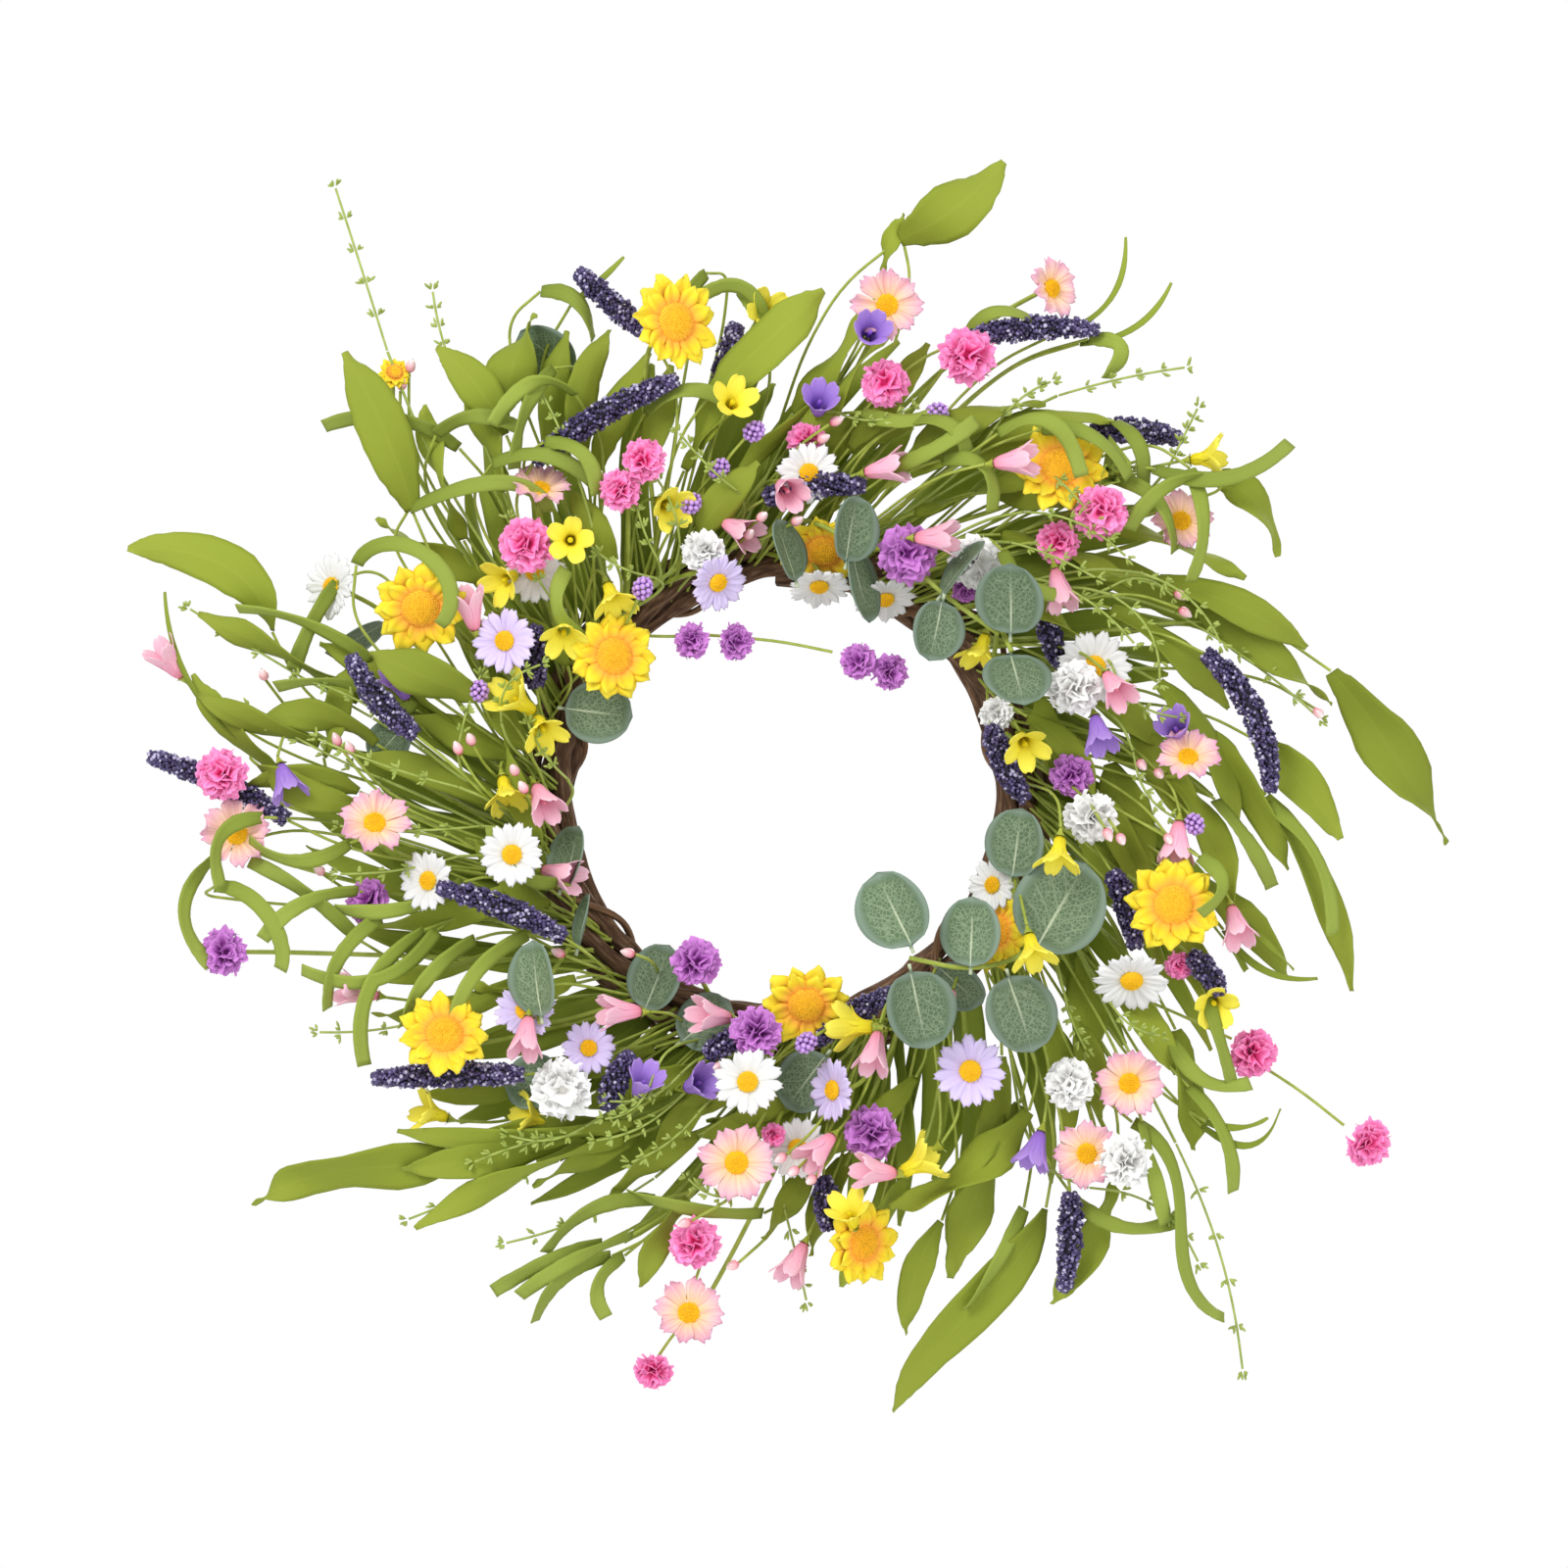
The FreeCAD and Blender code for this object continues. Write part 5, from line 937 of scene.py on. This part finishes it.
def crumb_surface(name):
    """Lavender foam: deep indigo crumbs, some violet, and a few pale specks, with painted shade that darkens
    the core and the deeper crumbs.
    """
    paint = Paint(name, 0.5, Specular_IOR_Level=0.5)
    base = paint.ramp(paint.value("tone"), (0.0, (48, 38, 72)), (0.55, (74, 62, 108)), (0.82, (110, 98, 146)),
                      (0.94, (190, 184, 214)))
    # Painted shade: darker the deeper a crumb sits, darkest on the core.
    depth = paint.band(paint.value("along"), 0.3, 0.9, 0.35, 1.0)
    base = paint.node("ShaderNodeHueSaturation", 0, None, Color=base, Value=depth)
    grain = paint.noise(1400.0)
    return paint.finish(base, (grain, 0.4, 0.2 * MM))


def disc_surface(name, outer, inner, roughness=0.8):
    """Floret disc: colour from the middle to the rim, each floret a little different."""
    paint = Paint(name, roughness, Specular_IOR_Level=0.25)
    base = paint.ramp(paint.value("along"), (0.0, inner), (0.55, inner), (1.0, outer))
    fuzz = paint.noise(1700.0)
    return paint.finish(paint.varied(base, 0.16), (fuzz, 0.5, 0.2 * MM))


def glossy(name, foot, body, tip):
    """Dipped glossy plastic with a colour that changes from foot to tip."""
    paint = Paint(name, 0.25, Coat_Weight=0.4, Coat_Roughness=0.15)
    base = paint.ramp(paint.value("along"), (0.05, foot), (0.35, body), (0.95, tip))
    patch = paint.noise(500.0)
    return paint.finish(paint.varied(base, 0.08), (patch, 0.15, 0.15 * MM))


def make_materials():
    """Every material of the wreath, by name."""
    looks = {
        bark: {
            "bark": ((52, 36, 28), (110, 82, 60), (160, 130, 104)),
            "bark_thin": ((84, 58, 40), (122, 90, 64), (158, 128, 98)),
        },
        cloth_petal: {
            "sunflower": ((250, 176, 70), (244, 216, 46), (240, 226, 72), (244, 186, 40), 0.35, (0.34, 0.68)),
            "white_daisy": ((218, 220, 200), (228, 228, 226), (232, 232, 232), (196, 196, 200)),
            "lilac_daisy": ((206, 184, 234), (212, 196, 236), (222, 208, 244), (176, 152, 214)),
            "pink_cosmos": ((250, 214, 140), (247, 206, 190), (228, 172, 202), (216, 120, 146), 0.5,
                            (0.08, 0.5)),
            # The pale streak colour of the pink carnations is partly printed lines and partly painted
            # highlight on the raised ridges.
            "carnation_pink": ((228, 46, 138), (250, 84, 166), (254, 148, 206), (255, 200, 232), 0.45),
            "carnation_white": ((242, 240, 232), (246, 245, 242), (248, 248, 247), (222, 220, 214), 0.2),
            "carnation_purple": ((138, 58, 146), (184, 98, 188), (212, 140, 218), (128, 56, 138), 0.4),
            "forsythia": ((214, 196, 24), (238, 222, 50), (244, 234, 92), (226, 192, 24)),
            "tulip": ((238, 140, 160), (242, 172, 196), (244, 200, 214), (230, 130, 164), 0.3),
            "crocus": ((140, 96, 190), (158, 120, 208), (182, 148, 222), (124, 80, 180), 0.3),
        },
        disc_surface: {
            "sun_disc": ((250, 172, 72), (250, 198, 48)),
            "daisy_disc": ((248, 206, 26), (240, 186, 20), 0.6),
        },
        leaf_cloth: {
            "leaf": ((118, 130, 38), (136, 149, 48), (147, 159, 59), (124, 138, 40)),
            "strap": ((120, 136, 49), (139, 155, 62), (149, 165, 74), (128, 143, 53)),
            "blade": ((100, 116, 36), (128, 144, 46), (144, 158, 58), (112, 126, 40)),
        },
        plastic: {
            "stem": ((136, 152, 46), (168, 180, 74)),
            "calyx": ((146, 158, 48), (176, 184, 66)),
            "sprig": ((140, 158, 62), (168, 184, 92)),
        },
        eucalyptus_surface: {"eucalyptus": ()},
        crumb_surface: {"lavender": ()},
        glossy: {
            "bud": ((220, 84, 104), (240, 158, 170), (250, 226, 226)),
            "berry": ((150, 100, 190), (166, 116, 200), (206, 164, 232)),
        },
    }
    return {name: make(name, *look) for make, kinds in looks.items() for name, look in kinds.items()}


# ---------------------------------------------------------------- stage

def make_stage():
    """A pale floor, soft studio light and a level camera square to the wreath."""
    scene = bpy.context.scene
    floor_z = CAD_BOX[0][2] - 1.2
    bpy.ops.mesh.primitive_circle_add(vertices=96, radius=7.0, fill_type="NGON", location=(0, 0, floor_z))
    floor = bpy.context.object
    floor.name = "studio_floor"
    paint = Paint("studio_floor", 0.9)
    grey = paint.ramp(paint.noise(0.6), (0.3, (238, 238, 238)), (0.7, (242, 242, 242)))
    floor.data.materials.append(paint.finish(grey))
    world = bpy.data.worlds.new("studio")
    world.use_nodes = True
    scene.world = world
    nodes, links = world.node_tree.nodes, world.node_tree.links
    rays, mix = nodes.new("ShaderNodeLightPath"), nodes.new("ShaderNodeMixShader")
    links.new(rays.outputs["Is Camera Ray"], mix.inputs[0])
    soft, glow = nodes["Background"], nodes.new("ShaderNodeBackground")
    for socket, background, strength in ((1, soft, 0.8), (2, glow, 1.0)):
        background.inputs["Color"].default_value = (1, 1, 1, 1)
        background.inputs["Strength"].default_value = strength
        links.new(background.outputs[0], mix.inputs[socket])
    links.new(mix.outputs[0], nodes["World Output"].inputs["Surface"])
    lamps = (("key", (-1.3, -2.2, 1.7), 52, 1.3), ("fill", (1.9, -2.0, 0.3), 16, 1.6),
             ("back", (0.9, 2.4, 1.5), 40, 1.6))
    for name, place, power, span in lamps:
        lamp = bpy.data.lights.new(name, "AREA")
        lamp.energy, lamp.size = power, span
        holder = bpy.data.objects.new(name, lamp)
        spot = np.array(place) + RING
        holder.location = spot
        holder.rotation_euler = Vector(RING - spot).to_track_quat("-Z", "Y").to_euler()
        scene.collection.objects.link(holder)
    distance, view_width, blossom_depth, rise = 6.0, 0.72, 0.04, 5.4 * MM
    lens = bpy.data.cameras.new("camera")
    lens.sensor_width = 36
    lens.lens = lens.sensor_width * distance / view_width
    camera = bpy.data.objects.new("camera", lens)
    camera.location = (RING[0], -distance - blossom_depth, RING[2] + rise)
    camera.rotation_euler = (math.pi / 2, 0, 0)
    scene.collection.objects.link(camera)
    scene.camera = camera
    scene.view_settings.view_transform = "Standard"


# ---------------------------------------------------------------- the wreath

def repaint(material, *nodes):
    """Gives CAD nodes that keep their shape a finished material."""
    for node in nodes:
        for slot in frame["nodes"][node].material_slots:
            slot.material = material


def make_flowers():
    """The four kinds of open flower. Florets are their count, width and height."""
    sun_look = dict(half_widths=(0.12, 0.18, 0.24, 0.20, 0.07), lifts=(0.02, 0.07, 0.13, 0.16, 0.12), rows=11,
                    columns=9, curl=-0.2, crease=0.35, start=0.22, tooth=0.03, wave=0.05)
    flower_pieces("sunflower", "sun_yellow", {"back_petals": dict(count=11),
                                              "front_petals": dict(count=9, offset=0.5)},
                  sun_look, (240, 0.44 * MM, 0.7 * MM), "sun_disc", "sun_disc")
    daisy_look = dict(half_widths=(0.06, 0.12, 0.16, 0.17, 0.12), lifts=(0.02, 0.06, 0.11, 0.15, 0.14),
                      tooth=0.12, curl=-0.35, crease=0.5, start=0.12, wave=0.02)
    for name, slot in (("white_daisy", "white_cloth"), ("lilac_daisy", "lilac_cloth")):
        flower_pieces(name, slot, {"petals": dict(count=15)}, daisy_look, (70, 0.36 * MM, 0.6 * MM),
                      "daisy_disc", "yellow_disc")
    cosmos_look = dict(half_widths=(0.07, 0.15, 0.25, 0.29, 0.19), lifts=(0.02, 0.08, 0.17, 0.24, 0.24),
                       tooth=0.15, curl=0.3, crease=0.3, columns=11, start=0.12, wave=0.07)
    flower_pieces("pink_cosmos", "pink_cloth", {"petals": dict(count=8)}, cosmos_look,
                  (80, 0.38 * MM, 0.7 * MM), "daisy_disc", "yellow_disc")


def make_carnations():
    """The ruffled heads in three colours, with their calyxes."""
    poses = []
    for colour, slot in (("pink", "hot_pink"), ("white", "ruffle_white"), ("purple", "purple")):
        node = f"carnation_{colour}_heads"
        rng = chance(node)
        own = head_poses(node, "carnation_calyxes")
        heads = [stood(carnation(reach, rise, rng), base, axis) for base, axis, reach, rise in own]
        piece(f"{node}_ruffles", heads, f"carnation_{colour}", slot, node)
        poses += own
    sepal_pieces("carnation_sepals", "carnation_calyxes", poses)


def make_bells():
    """The trumpet flowers in three kinds, with their cups."""
    bell_pieces("forsythia_bells", "forsythia", "bell_yellow", count=5, curl=0.06,
                belly=(0.14, 0.24, 0.34, 0.70, 1.0), petals=(0.22, 0.32, 0.38, 0.34, 0.12))
    bell_pieces("tulip_bells", "tulip", "bell_pink", count=5, curl=0.03,
                belly=(0.20, 0.40, 0.52, 0.74, 1.0), petals=(0.34, 0.44, 0.48, 0.44, 0.16))
    bell_pieces("crocus_bells", "crocus", "bell_lilac", count=6, curl=0.04,
                belly=(0.18, 0.38, 0.50, 0.74, 1.0), petals=(0.28, 0.38, 0.44, 0.40, 0.16))
    kinds = ("forsythia_bells", "tulip_bells", "crocus_bells")
    poses = [pose for kind in kinds for pose in head_poses(kind, "bell_cups")]
    sepal_pieces("bell_sepals", "bell_cups", poses)


def make_greenery():
    """Leaves, straps, blades, sprigs, eucalyptus and lavender."""
    leaf_pieces("broad_leaves", close_to("broad_leaf_stalks"), "leaf", 26, 0.45 * MM,
                columns=9, fold=0.16, ripple=0.9 * MM, waves=1.3, roll=1.25)
    leaf_pieces("strap_leaves", close_to("strap_stalks"), "strap", 24, 0.5 * MM,
                columns=5, fold=0.03, ripple=0.2 * MM, waves=0.8, roll=0.5)
    leaf_pieces("grass_blades", close_to("grass_stalks"), "blade", 20, 0.5 * MM,
                columns=5, fold=0.15, ripple=0.1 * MM, waves=1.0, roll=0.5)
    leaf_pieces("under_blades", close_to_hub, "blade", 20, 0.45 * MM,
                columns=7, fold=0.2, ripple=0.6 * MM, waves=1.2, roll=1.0)
    eucalyptus_pieces("eucalyptus_leaves", "eucalyptus_twigs")
    lavender_pieces("lavender_spikes", "lavender_stems")
    leaflet_pieces("sprig_leaflets")
    bud_pieces("pip_buds", "pip_stems")
    berry_pieces("berry_heads")


def make_ring():
    """The canes of the ring, with bark, and the thin vine that binds them."""
    canes = [node for node in frame["nodes"] if node.startswith("vine_cane")]
    twist_reach = 9 * MM
    for node in canes:
        low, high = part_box(node)
        vine_piece(node, (high[1] - low[1]) / 2 - twist_reach, "bark")
    vine_piece("vine_core", 2.8 * MM, "bark")
    vine_piece("vine_binding", 1.5 * MM, "bark_thin")


MATERIALS = make_materials()
make_ring()
make_flowers()
make_carnations()
make_bells()
make_greenery()
stem_words = ("_stems", "_stalks", "_wires", "_twigs")
repaint(MATERIALS["stem"], *(node for node in frame["nodes"] if node.endswith(stem_words)))
repaint(MATERIALS["sprig"], "sprig_twigs", "sprig_stalks")
make_stage()
